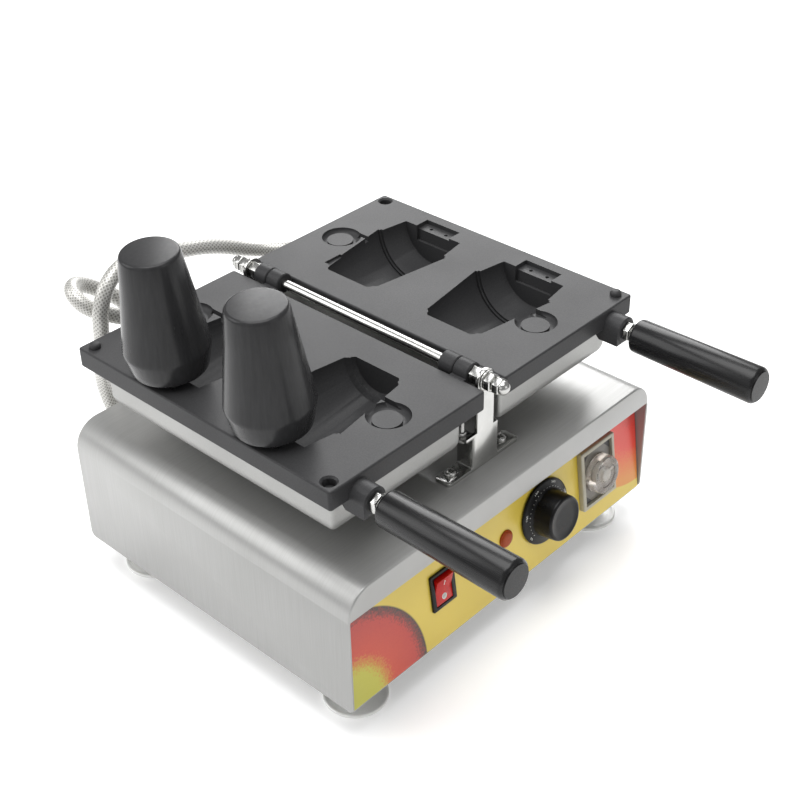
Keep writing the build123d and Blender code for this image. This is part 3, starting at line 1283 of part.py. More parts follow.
def timer_body():
    """The timer's case behind the panel."""
    width = TIMER_WIDTH - 2 * TIMER_FRAME_BORDER - 2 * CUT_CLEARANCE
    height = TIMER_HEIGHT - 2 * TIMER_FRAME_BORDER - 2 * CUT_CLEARANCE
    body = Pos(0, 0, OVERLAY_THICKNESS - TIMER_BODY_DEPTH / 2) * Box(width, height, TIMER_BODY_DEPTH)
    body -= Pos(0, 0, OVERLAY_THICKNESS) * Cylinder(CONTROL_STEM_RADIUS + RUNNING_FIT, 2 * TIMER_BORE_DEPTH)
    return on_panel(body, TIMER_U, CONTROL_V)


def timer_knob():
    """The timer's clear knob: a shallow cup with a hub and stem."""
    base = OVERLAY_THICKNESS + TIMER_FACE_RISE + TIMER_KNOB_GAP
    top = base + TIMER_KNOB_RISE
    hollow = top - TIMER_KNOB_EDGE
    knob = turned([
        (0, base),
        (TIMER_KNOB_RADIUS, base),
        (TIMER_KNOB_TOP_RADIUS, hollow),
        (TIMER_KNOB_TOP_RADIUS - TIMER_KNOB_EDGE, top),
        (TIMER_HUB_RADIUS + TIMER_HUB_FLOOR + TIMER_HUB_SLOPE, top),
        (TIMER_HUB_RADIUS + TIMER_HUB_FLOOR, hollow),
        (TIMER_HUB_RADIUS, hollow),
        (TIMER_HUB_RADIUS, top),
        (0, top),
    ])
    stem = Cylinder(CONTROL_STEM_RADIUS, TIMER_STEM_LENGTH)
    knob += Pos(0, 0, base + CUT_OVER - TIMER_STEM_LENGTH / 2) * stem
    return on_panel(knob, TIMER_U, CONTROL_V)


def terminal_block():
    """The wiring block on the base plate, with one clamp well to a pole."""
    low = CASING_BOTTOM + PLATE_SHEET
    body = block(
        -TERMINAL_LENGTH / 2, TERMINAL_LENGTH / 2,
        TERMINAL_Y - TERMINAL_WIDTH / 2, TERMINAL_Y + TERMINAL_WIDTH / 2,
        low, low + TERMINAL_HEIGHT,
    )
    pitch = TERMINAL_LENGTH / TERMINAL_POLES
    for pole in range(TERMINAL_POLES):
        x = -TERMINAL_LENGTH / 2 + pitch * (pole + 0.5)
        well_floor = low + TERMINAL_HEIGHT - TERMINAL_WELL_DEPTH
        body -= rod_z(TERMINAL_WELL_RADIUS, well_floor, low + TERMINAL_HEIGHT + CUT_OVER, x, TERMINAL_Y)
    return body


def sensor_bulb():
    """The thermostat's sensing bulb against the left plate, between the two moulds."""
    z = SHAFT_Z + PLATE_UNDER - BULB_RADIUS
    return rod_x(BULB_RADIUS, BULB_T - BULB_LENGTH / 2, BULB_T + BULB_LENGTH / 2, IRON_Y, z)


def save_base():
    """Write the nodes that stand still."""
    save("casing_shell", casing_shell())
    save("base_plate", base_plate())
    save("base_screws", base_screws())
    save("back_panel", back_panel())
    save("control_panel", control_panel())
    save("panel_overlay", panel_overlay())
    save("feet", feet())
    save("foot_stems", foot_stems())
    save("hinge_bracket_front", hinge_bracket())
    save("hinge_bracket_back", turned_round(hinge_bracket()))
    save("stop_bolt_front", stop_bolt())
    save("stop_bolt_back", turned_round(stop_bolt()))
    save("bracket_screws", bracket_screws())
    save("hinge_shaft", hinge_shaft())
    save("shaft_washers", shaft_washers())
    save("shaft_nuts", shaft_nuts())
    back = CASING_DEPTH / 2
    outlets = outlet_points()
    save("hose_outlets", Compound([back_gland(x, back, z) for x, z in outlets[:2]]))
    save("mains_inlet", back_gland(outlets[2][0], back, outlets[2][1]))
    save("terminal_block", terminal_block())


def save_controls():
    """Write the switch, lamp, buzzer, thermostat and timer."""
    save("switch_housing", switch_housing())
    save("switch_rocker", rocker())
    save("buzzer", buzzer())
    save("pilot_lamp", pilot_lamp())
    save("thermostat_body", thermostat_body())
    save("thermostat_stem", thermostat_stem())
    save("thermostat_knob", thermostat_knob())
    save("timer_frame", timer_frame())
    save("timer_face", timer_face())
    save("timer_body", timer_body())
    save("timer_knob", timer_knob())


def save_irons():
    """Write both irons; the left one is mirrored across the shaft."""
    inner = KNUCKLE_START
    outer = KNUCKLE_START + KNUCKLE_WIDTH + KNUCKLE_GAP
    irons = (
        ("right", lambda shape: shape, mould_plate(inner, outer, 1, -PEG_Y), -PEG_Y, RIGHT_GLAND_T),
        ("left", other_side, mould_plate(outer, inner, -1, PEG_Y), PEG_Y, LEFT_GLAND_T),
    )
    for name, place, plate, peg_y, gland_t in irons:
        save(f"{name}_mould_plate", place(plate))
        save(f"{name}_locating_peg", place(locating_peg(peg_y)))
        save(f"{name}_heater_cover", place(heater_cover(gland_t)))
        save(f"{name}_cover_screws", place(cover_screws()))
        save(f"{name}_heater", place(heater_element()))
        save(f"{name}_insulation", place(insulation_pad()))
        save(f"{name}_handle_rod", place(handle_rod()))
        save(f"{name}_handle_nut", place(handle_nut()))
        save(f"{name}_handle_grip", place(handle_grip()))
        save(f"{name}_grip_cap", place(grip_cap()))
        save(f"{name}_iron_gland", place(iron_gland(gland_t)))
    save("left_sensor_bulb", other_side(sensor_bulb()))


def save_cores():
    """Write the cores and their hinges."""
    save("front_core", core(CUP_CENTRES[0]))
    save("back_core", core(CUP_CENTRES[1]))
    save("core_hinge_leaves", core_hinge_leaves())
    save("core_leaf_screws", core_leaf_screws())
    save("core_pins", core_pins())


def save_hoses():
    """Write the two braided hoses."""
    save("right_hose", right_hose())
    save("left_hose", left_hose())


save_base()
save_controls()
save_irons()
save_cores()
save_hoses()
print("frame x, y", round(FRAME_X, 3), round(FRAME_Y, 3), "shaft z", SHAFT_Z)
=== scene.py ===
"""Cup waffle maker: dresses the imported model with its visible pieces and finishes."""

import logging
import math
from collections.abc import Callable, Iterator, Sequence
from contextlib import contextmanager
from dataclasses import dataclass
from enum import Enum

import bmesh
import bpy
from mathutils import Matrix, Vector


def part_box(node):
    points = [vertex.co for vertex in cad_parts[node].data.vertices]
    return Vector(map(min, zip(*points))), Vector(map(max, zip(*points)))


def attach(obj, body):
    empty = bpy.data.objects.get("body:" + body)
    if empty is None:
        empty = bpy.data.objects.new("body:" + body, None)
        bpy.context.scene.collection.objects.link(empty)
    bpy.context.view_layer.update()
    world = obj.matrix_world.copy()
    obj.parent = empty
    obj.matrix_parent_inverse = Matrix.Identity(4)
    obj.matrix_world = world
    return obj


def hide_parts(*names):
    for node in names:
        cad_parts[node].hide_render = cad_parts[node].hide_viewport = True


logging.basicConfig(level=logging.INFO, format="%(message)s")
LOG = logging.getLogger("waffle_maker")

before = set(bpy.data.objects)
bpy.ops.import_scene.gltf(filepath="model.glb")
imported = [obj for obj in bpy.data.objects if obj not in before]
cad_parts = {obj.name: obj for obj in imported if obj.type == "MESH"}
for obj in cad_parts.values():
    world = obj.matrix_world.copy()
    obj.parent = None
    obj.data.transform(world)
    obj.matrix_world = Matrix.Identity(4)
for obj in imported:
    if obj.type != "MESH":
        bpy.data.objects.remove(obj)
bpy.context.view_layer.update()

MM = 0.001
# How close two places are taken as one
NEAR = 0.1 * MM
PHOTO_SIZE = 800
SENSOR = 36.0

# How many sides a turned piece has, from the moulds down to the printed dots
MOULD_SIDES = 128
ROUND_SIDES = 96
EAR_SIDES = 80
BOSS_SIDES = 72
KNUCKLE_SIDES = 64
PEG_SIDES = 56
BORE_SIDES = 48
SMALL_SIDES = 40
DRILL_SIDES = 28
HUB_SIDES = 24
DOT_SIDES = 12
HEX_SIDES = 6

# Radius and height of each stage of the hexagon that every hose gland starts with
GLAND_NUT = ((9.2, 0), (10, 0.6), (10, 3.4), (9.2, 4))


class Side(Enum):
    """Which iron a piece belongs to: the sign is its side of the shaft along X."""

    RIGHT = 1
    LEFT = -1

    @property
    def word(self) -> str:
        """The side as the nodes' names say it."""
        return self.name.lower()

    @property
    def body(self) -> str:
        """The body that the side's iron belongs to."""
        return f"{self.word}_iron"


class End(Enum):
    """Front or back cup of an iron: the sign is its side of the iron's middle along Y."""

    FRONT = -1
    BACK = 1

    @property
    def word(self) -> str:
        """The end as the nodes' names say it."""
        return self.name.lower()


@dataclass(frozen=True)
class Layout:
    """The machine's own axes in the row frame, read from the hinge shaft.

    Machine coordinates are millimetres with X = 0 on the shaft and Y = 0 in mid casing.
    """

    shaft: Vector
    iron_shift: float = 3.0
    panel_foot: tuple[float, float] = (-148.3, 27.5)
    panel_tilt: float = 7.4
    film: float = 0.4

    @classmethod
    def from_frame(cls) -> "Layout":
        """Reads the shaft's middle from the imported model.

        Returns:
            The layout of this machine.
        """
        low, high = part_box("hinge_shaft")
        return cls(shaft=(low + high) / 2)

    def at(self, x: float, y: float, z: float) -> Vector:
        """Turns machine millimetres into row metres.

        Args:
            x: Distance from the shaft.
            y: Distance behind mid casing.
            z: Height above the table.

        Returns:
            The point in the row frame.
        """
        return Vector((self.shaft.x + x * MM, self.shaft.y + (y - self.iron_shift) * MM, z * MM))

    def on_iron(self, side: Side, reach: float, y: float, rise: float) -> Vector:
        """A point on an iron at rest.

        Args:
            side: The iron.
            reach: Distance from the shaft, outwards.
            y: Distance behind the iron's middle.
            rise: Height above the shaft's axis.

        Returns:
            The point in the row frame.
        """
        return self.shaft + Vector((side.value * reach * MM, y * MM, rise * MM))

    def on_panel(self, u: float, v: float, lift: float = 0.0) -> Matrix:
        """The place of a piece on the sloping panel.

        Args:
            u: Distance to the right of the panel's middle.
            v: Distance up the panel from its lower edge.
            lift: Distance out from the steel sheet.

        Returns:
            A matrix whose Z axis points out of the panel and whose Y axis points up it.
        """
        tilt = math.radians(self.panel_tilt)
        up = Vector((0, math.sin(tilt), math.cos(tilt)))
        out = Vector((0, -math.cos(tilt), math.sin(tilt)))
        place = self.at(u, self.panel_foot[0], self.panel_foot[1]) + up * v * MM + out * lift * MM
        turn = Matrix((Vector((1, 0, 0)), up, out)).transposed()
        return Matrix.Translation(place) @ turn.to_4x4()


def focus(piece: bpy.types.Object) -> None:
    """Makes one object the only selected and the active one."""
    bpy.ops.object.select_all(action="DESELECT")
    piece.select_set(True)
    bpy.context.view_layer.objects.active = piece


@contextmanager
def editing(piece: bpy.types.Object, elements: str = "FACE") -> Iterator[bmesh.types.BMesh]:
    """Edit mode on one object with nothing selected.

    Args:
        piece: The object.
        elements: VERT, EDGE or FACE, the selection mode.

    Yields:
        The mesh being edited, for selecting by place or normal.
    """
    focus(piece)
    bpy.ops.object.mode_set(mode="EDIT")
    bpy.ops.mesh.select_mode(type=elements)
    bpy.ops.mesh.select_all(action="DESELECT")
    yield bmesh.from_edit_mesh(piece.data)
    bpy.ops.object.mode_set(mode="OBJECT")


def pick(items: Sequence, test: Callable[..., bool]) -> None:
    """Selects the vertices, edges or faces that pass a test.

    Args:
        items: The mesh's vertices, edges or faces.
        test: Says whether one of them is wanted.
    """
    for item in [item for item in items if test(item)]:
        item.select_set(True)


def middle(item: bmesh.types.BMEdge | bmesh.types.BMFace) -> Vector:
    """The mean of an edge's or a face's corners."""
    corners = [vert.co for vert in item.verts]
    return sum(corners, Vector()) / len(corners)


def along(edge: bmesh.types.BMEdge, axis: int) -> bool:
    """Whether an edge runs along X (0), Y (1) or Z (2)."""
    line = (edge.verts[1].co - edge.verts[0].co).normalized()
    return abs(line[axis]) > 0.99


def settle(piece: bpy.types.Object, matrix: Matrix | None = None) -> bpy.types.Object:
    """Moves a piece to its place and writes the place into its mesh.

    Args:
        piece: The object.
        matrix: Where it goes, or None to keep it where it is.

    Returns:
        The same object, now at the origin.
    """
    focus(piece)
    if matrix is not None:
        piece.matrix_world = matrix @ piece.matrix_world
    bpy.ops.object.transform_apply(location=True, rotation=True, scale=True)
    return piece


def box_piece(name: str, low: Vector, high: Vector) -> bpy.types.Object:
    """Adds a box between two corners.

    Args:
        name: The piece's name.
        low: Its lowest corner.
        high: Its highest corner.

    Returns:
        The new object.
    """
    near = Vector(map(min, low, high))
    far = Vector(map(max, low, high))
    bpy.ops.mesh.primitive_cube_add(size=1, location=(near + far) / 2)
    piece = bpy.context.object
    piece.name = name
    piece.scale = far - near
    return settle(piece)


def turned_piece(
    name: str,
    profile: Sequence[tuple[float, float]],
    sides: int = ROUND_SIDES,
) -> bpy.types.Object:
    """Turns a piece about its own Z axis: a disc extruded and scaled stage by stage.

    Args:
        name: The piece's name.
        profile: Radius and height of each stage in millimetres.
        sides: How many sides the turning has.

    Returns:
        The new object, at the origin.
    """
    radius, height = profile[0]
    bpy.ops.mesh.primitive_circle_add(
        vertices=sides, radius=radius * MM, fill_type="NGON", location=(0, 0, height * MM)
    )
    piece = bpy.context.object
    piece.name = name
    settle(piece)
    bpy.ops.object.mode_set(mode="EDIT")
    bpy.ops.mesh.select_mode(type="FACE")
    bpy.ops.mesh.select_all(action="SELECT")
    for next_radius, next_height in profile[1:]:
        rise = (next_height - height) * MM
        bpy.ops.mesh.extrude_region_move(TRANSFORM_OT_translate={"value": (0, 0, rise)})
        ratio = next_radius / radius
        if abs(ratio - 1) > 1e-6:
            centre = (0, 0, next_height * MM)
            bpy.ops.transform.resize(value=(ratio, ratio, 1), center_override=centre)
        radius, height = next_radius, next_height
    bpy.ops.mesh.select_all(action="SELECT")
    bpy.ops.mesh.normals_make_consistent(inside=False)
    bpy.ops.object.mode_set(mode="OBJECT")
    return piece


def facing_y(place: Vector, towards: int = -1) -> Matrix:
    """A place whose Z axis points along Y.

    Args:
        place: The origin of the turned piece.
        towards: -1 to point to the front, 1 to the back.

    Returns:
        The matrix.
    """
    return Matrix.Translation(place) @ Matrix.Rotation(-towards * math.pi / 2, 4, "X")


def cut(
    piece: bpy.types.Object, tool: bpy.types.Object, operation: str = "DIFFERENCE"
) -> bpy.types.Object:
    """Cuts a piece with another, or fuses them, and uses the other one up.

    Args:
        piece: The piece that stays.
        tool: The piece that is used up.
        operation: DIFFERENCE, UNION or INTERSECT.

    Returns:
        The piece.
    """
    focus(piece)
    bpy.ops.object.modifier_add(type="BOOLEAN")
    modifier = piece.modifiers[-1]
    modifier.object = tool
    modifier.operation = operation
    modifier.solver = "EXACT"
    bpy.ops.object.modifier_apply(modifier=modifier.name)
    bpy.data.objects.remove(tool)
    return piece


def joined(pieces: Sequence[bpy.types.Object], name: str) -> bpy.types.Object:
    """Joins pieces into one object.

    Args:
        pieces: The pieces, of which the first gives the object.
        name: The name of the result.

    Returns:
        The joined object.
    """
    focus(pieces[0])
    for piece in pieces[1:]:
        piece.select_set(True)
    bpy.ops.object.join()
    pieces[0].name = name
    return pieces[0]


def copied(piece: bpy.types.Object, name: str, matrix: Matrix) -> bpy.types.Object:
    """Copies a settled piece with its own mesh to another place.

    Args:
        piece: The piece to copy.
        name: The copy's name.
        matrix: How the copy is moved.

    Returns:
        The copy.
    """
    focus(piece)
    bpy.ops.object.duplicate(linked=False)
    twin = bpy.context.object
    twin.name = name
    settle(twin, matrix)
    if matrix.determinant() < 0:
        with editing(twin):
            bpy.ops.mesh.select_all(action="SELECT")
            bpy.ops.mesh.normals_make_consistent(inside=False)
    return twin


def soften(
    piece: bpy.types.Object, width: float, segments: int = 3, angle: float = 32.0
) -> bpy.types.Object:
    """Rounds a piece's sharp edges and shades the rest smooth.

    Args:
        piece: The piece.
        width: Width of the rounding in millimetres, 0 for shading only.
        segments: Segments across the rounding.
        angle: Edges sharper than this many degrees are rounded.

    Returns:
        The piece.
    """
    focus(piece)
    if width > 0:
        bpy.ops.object.modifier_add(type="BEVEL")
        modifier = piece.modifiers[-1]
        modifier.width = width * MM
        modifier.segments = segments
        modifier.limit_method = "ANGLE"
        modifier.angle_limit = math.radians(angle)
        modifier.harden_normals = False
        bpy.ops.object.modifier_apply(modifier=modifier.name)
    bpy.ops.object.shade_smooth_by_angle(angle=math.radians(angle + 2))
    return piece


def crease_flats(piece: bpy.types.Object) -> bpy.types.Object:
    """Marks the borders of all faces square to an axis as sharp, so that no shade runs across them.

    Args:
        piece: The piece.

    Returns:
        The piece.
    """
    with editing(piece, "EDGE") as mesh:
        pick(
            mesh.edges,
            lambda edge: edge.calc_face_angle(0) > math.radians(0.5)
            and any(max(abs(part) for part in face.normal) > 0.9999 for face in edge.link_faces),
        )
        bpy.ops.mesh.mark_sharp()
    return piece


def merged_copy(node: str, name: str) -> bpy.types.Object:
    """Copies a CAD node's mesh into a piece of its own, with its triangles merged.

    Args:
        node: The CAD node.
        name: The piece's name.

    Returns:
        The copy, ready to be softened.
    """
    focus(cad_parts[node])
    bpy.ops.object.duplicate(linked=False)
    piece = bpy.context.object
    piece.name = name
    piece.parent = None
    for key in list(piece.keys()):
        del piece[key]
    piece.data.materials.clear()
    with editing(piece):
        bpy.ops.mesh.select_all(action="SELECT")
        bpy.ops.mesh.remove_doubles(threshold=0.01 * MM)
        bpy.ops.mesh.dissolve_limited(angle_limit=math.radians(0.5))
    return piece


def linear(hex_colour: str) -> tuple[float, float, float, float]:
    """Turns an sRGB hex colour into linear RGBA.

    Args:
        hex_colour: Six hex digits, with or without a leading hash.

    Returns:
        Linear red, green and blue, and alpha 1.
    """
    digits = hex_colour.lstrip("#")
    parts = [int(digits[i : i + 2], 16) / 255 for i in (0, 2, 4)]
    levels = [c / 12.92 if c <= 0.04045 else ((c + 0.055) / 1.055) ** 2.4 for c in parts]
    return (levels[0], levels[1], levels[2], 1.0)


def add_node(
    tree: bpy.types.NodeTree, kind: str, inputs: dict | None = None, **settings
) -> bpy.types.Node:
    """Adds a shader node with its settings, values and links.

    Args:
        tree: The material's node tree.
        kind: The node's type.
        inputs: Input name or index to a value, or to a socket to link from.
        **settings: Attributes of the node.

    Returns:
        The node.
    """
    node = tree.nodes.new(kind)
    for key, value in settings.items():
        setattr(node, key, value)
    for key, value in (inputs or {}).items():
        if isinstance(value, bpy.types.NodeSocket):
            tree.links.new(value, node.inputs[key])
        else:
            node.inputs[key].default_value = value
    return node


def blank_material(name: str) -> tuple[bpy.types.Material, bpy.types.NodeTree, bpy.types.Node]:
    """Starts a material with a Principled shader.

    Args:
        name: The material's name.

    Returns:
        The material, its node tree and its shader.
    """
    material = bpy.data.materials.new(name)
    material.use_nodes = True
    tree = material.node_tree
    tree.nodes.clear()
    shader = add_node(tree, "ShaderNodeBsdfPrincipled")
    add_node(tree, "ShaderNodeOutputMaterial", {"Surface": shader.outputs["BSDF"]})
    return material, tree, shader


def steps(
    tree: bpy.types.NodeTree, factor: bpy.types.NodeSocket, stops: Sequence[tuple[float, str]]
) -> bpy.types.NodeSocket:
    """Colours a value by a ramp.

    Args:
        tree: The material's node tree.
        factor: The value, from 0 to 1.
        stops: Place and sRGB hex colour of each stop.

    Returns:
        The ramp's colour.
    """
    ramp = add_node(tree, "ShaderNodeValToRGB", {"Fac": factor})
    elements = ramp.color_ramp.elements
    while len(elements) < len(stops):
        elements.new(1.0)
    for element, (place, colour) in zip(elements, stops):
        element.position = place
        element.color = linear(colour)
    return ramp.outputs["Color"]


@dataclass(frozen=True)
class GrainedFinish:
    """A finish with a fine grain of a stated size and a broad, faint unevenness.

    The grain's size is given along X, Y and Z in millimetres, so that brushing is a grain
    that is long one way and fine across.
    """

    name: str
    slot: str
    light: str
    dark: str
    metallic: float = 0.0
    roughness: float = 0.5
    roughness_spread: float = 0.08
    grain: tuple[float, float, float] = (1.0, 1.0, 1.0)
    grain_depth: float = 0.05
    grain_strength: float = 0.25
    broad: float = 60.0
    broad_share: float = 0.5
    coat: float = 0.0
    coat_roughness: float = 0.1
    specular: float = 0.5

    def build(self) -> bpy.types.Material:
        """Makes the material.

        Returns:
            The material, with its grain in colour, roughness and bump.
        """
        material, tree, shader = blank_material(self.name)
        place = add_node(tree, "ShaderNodeTexCoord").outputs["Object"]
        scale = tuple(1 / (size * MM) for size in self.grain)
        fine_place = add_node(tree, "ShaderNodeMapping", {"Vector": place, "Scale": scale})
        fine = add_node(
            tree, "ShaderNodeTexNoise",
            {"Vector": fine_place.outputs["Vector"], "Scale": 1.0, "Detail": 3.0, "Roughness": 0.6},
        ).outputs["Fac"]
        wide = add_node(
            tree, "ShaderNodeTexNoise",
            {"Vector": place, "Scale": 1 / (self.broad * MM), "Detail": 2.0, "Roughness": 0.5},
        ).outputs["Fac"]
        blend = add_node(
            tree, "ShaderNodeMix", {"Factor": self.broad_share, 2: fine, 3: wide}, data_type="FLOAT"
        ).outputs[0]
        colour = steps(tree, blend, ((0.3, self.dark), (0.7, self.light)))
        tree.links.new(colour, shader.inputs["Base Color"])
        low, high = self.roughness - self.roughness_spread, self.roughness + self.roughness_spread
        rough = add_node(
            tree, "ShaderNodeMapRange",
            {"Value": blend, "From Min": 0.25, "From Max": 0.75, "To Min": high, "To Max": low},
        ).outputs["Result"]
        tree.links.new(rough, shader.inputs["Roughness"])
        bump = add_node(
            tree, "ShaderNodeBump",
            {"Strength": self.grain_strength, "Distance": self.grain_depth * MM, "Height": fine},
        ).outputs["Normal"]
        tree.links.new(bump, shader.inputs["Normal"])
        shader.inputs["Metallic"].default_value = self.metallic
        shader.inputs["Coat Weight"].default_value = self.coat
        shader.inputs["Coat Roughness"].default_value = self.coat_roughness
        shader.inputs["Specular IOR Level"].default_value = self.specular
        return material


@dataclass(frozen=True)
class ClearFinish:
    """Clear or tinted moulded plastic with a faint unevenness that softens what is behind."""

    name: str
    slot: str
    tint: str
    roughness: float = 0.12
    transmission: float = 0.9
    ripple: float = 6.0

    def build(self) -> bpy.types.Material:
        """Makes the material.

        Returns:
            The material.
        """
        material, tree, shader = blank_material(self.name)
        place = add_node(tree, "ShaderNodeTexCoord").outputs["Object"]
        waves = add_node(
            tree, "ShaderNodeTexNoise", {"Vector": place, "Scale": 1 / (self.ripple * MM), "Detail": 1.0}
        ).outputs["Fac"]
        bump = add_node(
            tree, "ShaderNodeBump", {"Strength": 0.1, "Distance": 0.2 * MM, "Height": waves}
        ).outputs["Normal"]
        tree.links.new(bump, shader.inputs["Normal"])
        colour = steps(tree, waves, ((0.2, self.tint), (0.9, "#ffffff")))
        tree.links.new(colour, shader.inputs["Base Color"])
        shader.inputs["Roughness"].default_value = self.roughness
        shader.inputs["Transmission Weight"].default_value = self.transmission
        shader.inputs["IOR"].default_value = 1.45
        return material


@dataclass(frozen=True)
class BraidFinish:
    """Braided stainless wire over a hose: two sets of wires that cross at a slant.

    The pattern follows the tube's own UV map, so that it winds with the hose. The wires of
    the real braid are finer than a pixel, so they are drawn two to three times as coarse.
    The hose's length and the pitch are in millimetres.
    """

    name: str
    slot: str
    length: float
    around: int = 12
    pitch: float = 9.0

    def build(self) -> bpy.types.Material:
        """Makes the material.

        Returns:
            The material.
        """
        material, tree, shader = blank_material(self.name)
        uv = add_node(tree, "ShaderNodeTexCoord").outputs["UV"]
        parts = add_node(tree, "ShaderNodeSeparateXYZ", {"Vector": uv})
        waves_along = 2 * math.pi * self.length / self.pitch * 2
        waves_around = 2 * math.pi * self.around
        run = add_node(
            tree, "ShaderNodeMath", {0: parts.outputs["X"], 1: waves_along}, operation="MULTIPLY"
        ).outputs[0]
        turn = add_node(
            tree, "ShaderNodeMath", {0: parts.outputs["Y"], 1: waves_around}, operation="MULTIPLY"
        ).outputs[0]
        crossings = []
        for operation in ("ADD", "SUBTRACT"):
            slant = add_node(tree, "ShaderNodeMath", {0: turn, 1: run}, operation=operation).outputs[0]
            wave = add_node(tree, "ShaderNodeMath", {0: slant}, operation="SINE").outputs[0]
            crossings.append(wave)
        weave = add_node(
            tree, "ShaderNodeMath", {0: crossings[0], 1: crossings[1]}, operation="MAXIMUM"
        ).outputs[0]
        height = add_node(
            tree, "ShaderNodeMapRange", {"Value": weave, "From Min": -1.0, "From Max": 1.0}
        ).outputs["Result"]
        # Colour follows the weave's height: painted shade in the hollows between the wires, painted highlight
        # on their crowns
        colour = steps(tree, height, ((0.15, "#7d7c78"), (0.6, "#a9a8a4"), (1.0, "#c9c8c4")))
        tree.links.new(colour, shader.inputs["Base Color"])
        bump = add_node(
            tree, "ShaderNodeBump", {"Strength": 0.3, "Distance": 0.3 * MM, "Height": height}
        ).outputs["Normal"]
        tree.links.new(bump, shader.inputs["Normal"])
        shader.inputs["Metallic"].default_value = 0.45
        shader.inputs["Roughness"].default_value = 0.36
        return material


@dataclass(frozen=True)
class FilmFinish:
    """Printed polyester film: a yellow ground with round patches of colour at two corners.

    The left patch goes from lime to red with a dark rim, the right one from red to orange.
    Their edges break up into specks, as a screen print's airbrushed edges do.
    """

    name: str
    slot: str
    left_corner: Vector
    right_corner: Vector
    reach: float = 78.0
    speck: float = 1.6
    cloud: float = 90.0

    def build(self) -> bpy.types.Material:
        """Makes the material.

        Returns:
            The material.
        """
        material, tree, shader = blank_material(self.name)
        place = add_node(tree, "ShaderNodeTexCoord").outputs["Object"]
        specks = add_node(
            tree, "ShaderNodeTexNoise", {"Vector": place, "Scale": 1 / (self.speck * MM), "Detail": 2.0}
        ).outputs["Fac"]
        soft = add_node(
            tree, "ShaderNodeTexNoise", {"Vector": place, "Scale": 1 / (self.cloud * MM), "Detail": 1.0}
        ).outputs["Fac"]
        lime_to_dark = (
            (0.0, "#b3b13c"), (0.36, "#bdb83e"), (0.46, "#c8812e"), (0.54, "#c9452b"),
            (0.86, "#bb352a"), (0.93, "#7a2c26"), (0.99, "#3a2b28"),
        )
        red_to_orange = (
            (0.0, "#8e1d1c"), (0.35, "#d8301f"), (0.55, "#dd3a22"), (0.72, "#dd6a26"), (0.92, "#d98a2c"),
        )
        colour = steps(tree, soft, ((0.3, "#cfb644"), (0.7, "#dcc24c")))
        for corner, stops in ((self.left_corner, lime_to_dark), (self.right_corner, red_to_orange)):
            colour = self._arcs(tree, place, specks, colour, corner, stops)
        tree.links.new(colour, shader.inputs["Base Color"])
        shader.inputs["Roughness"].default_value = 0.38
        shader.inputs["Coat Weight"].default_value = 0.25
        shader.inputs["Coat Roughness"].default_value = 0.2
        bump = add_node(
            tree, "ShaderNodeBump", {"Strength": 0.06, "Distance": 0.1 * MM, "Height": specks}
        ).outputs["Normal"]
        tree.links.new(bump, shader.inputs["Normal"])
        return material

    def _arcs(
        self, tree: bpy.types.NodeTree, place: bpy.types.NodeSocket, specks: bpy.types.NodeSocket,
        ground: bpy.types.NodeSocket, corner: Vector, stops: Sequence[tuple[float, str]],
    ) -> bpy.types.NodeSocket:
        """Lays one round patch of colour over the ground.

        Args:
            tree: The material's node tree.
            place: Object coordinates.
            specks: Fine noise that breaks up the edges.
            ground: The colour below.
            corner: The patch's centre in the row frame.
            stops: The bands, from the centre outwards.

        Returns:
            The colour with the bands on it.
        """
        reach = self.reach * MM
        distance = add_node(
            tree, "ShaderNodeVectorMath", {0: place, 1: corner}, operation="DISTANCE"
        ).outputs["Value"]
        share = add_node(tree, "ShaderNodeMath", {0: distance, 1: reach}, operation="DIVIDE").outputs[0]
        ragged = add_node(
            tree, "ShaderNodeMath", {0: specks, 1: 0.22, 2: -0.11}, operation="MULTIPLY_ADD"
        ).outputs[0]
        broken = add_node(tree, "ShaderNodeMath", {0: share, 1: ragged}, operation="ADD").outputs[0]
        bands = steps(tree, broken, stops)
        inside = add_node(
            tree, "ShaderNodeMapRange",
            {"Value": share, "From Min": 0.985, "From Max": 1.0, "To Min": 1.0, "To Max": 0.0},
        ).outputs["Result"]
        return add_node(
            tree, "ShaderNodeMix", {"Factor": inside, 6: ground, 7: bands}, data_type="RGBA"
        ).outputs[2]


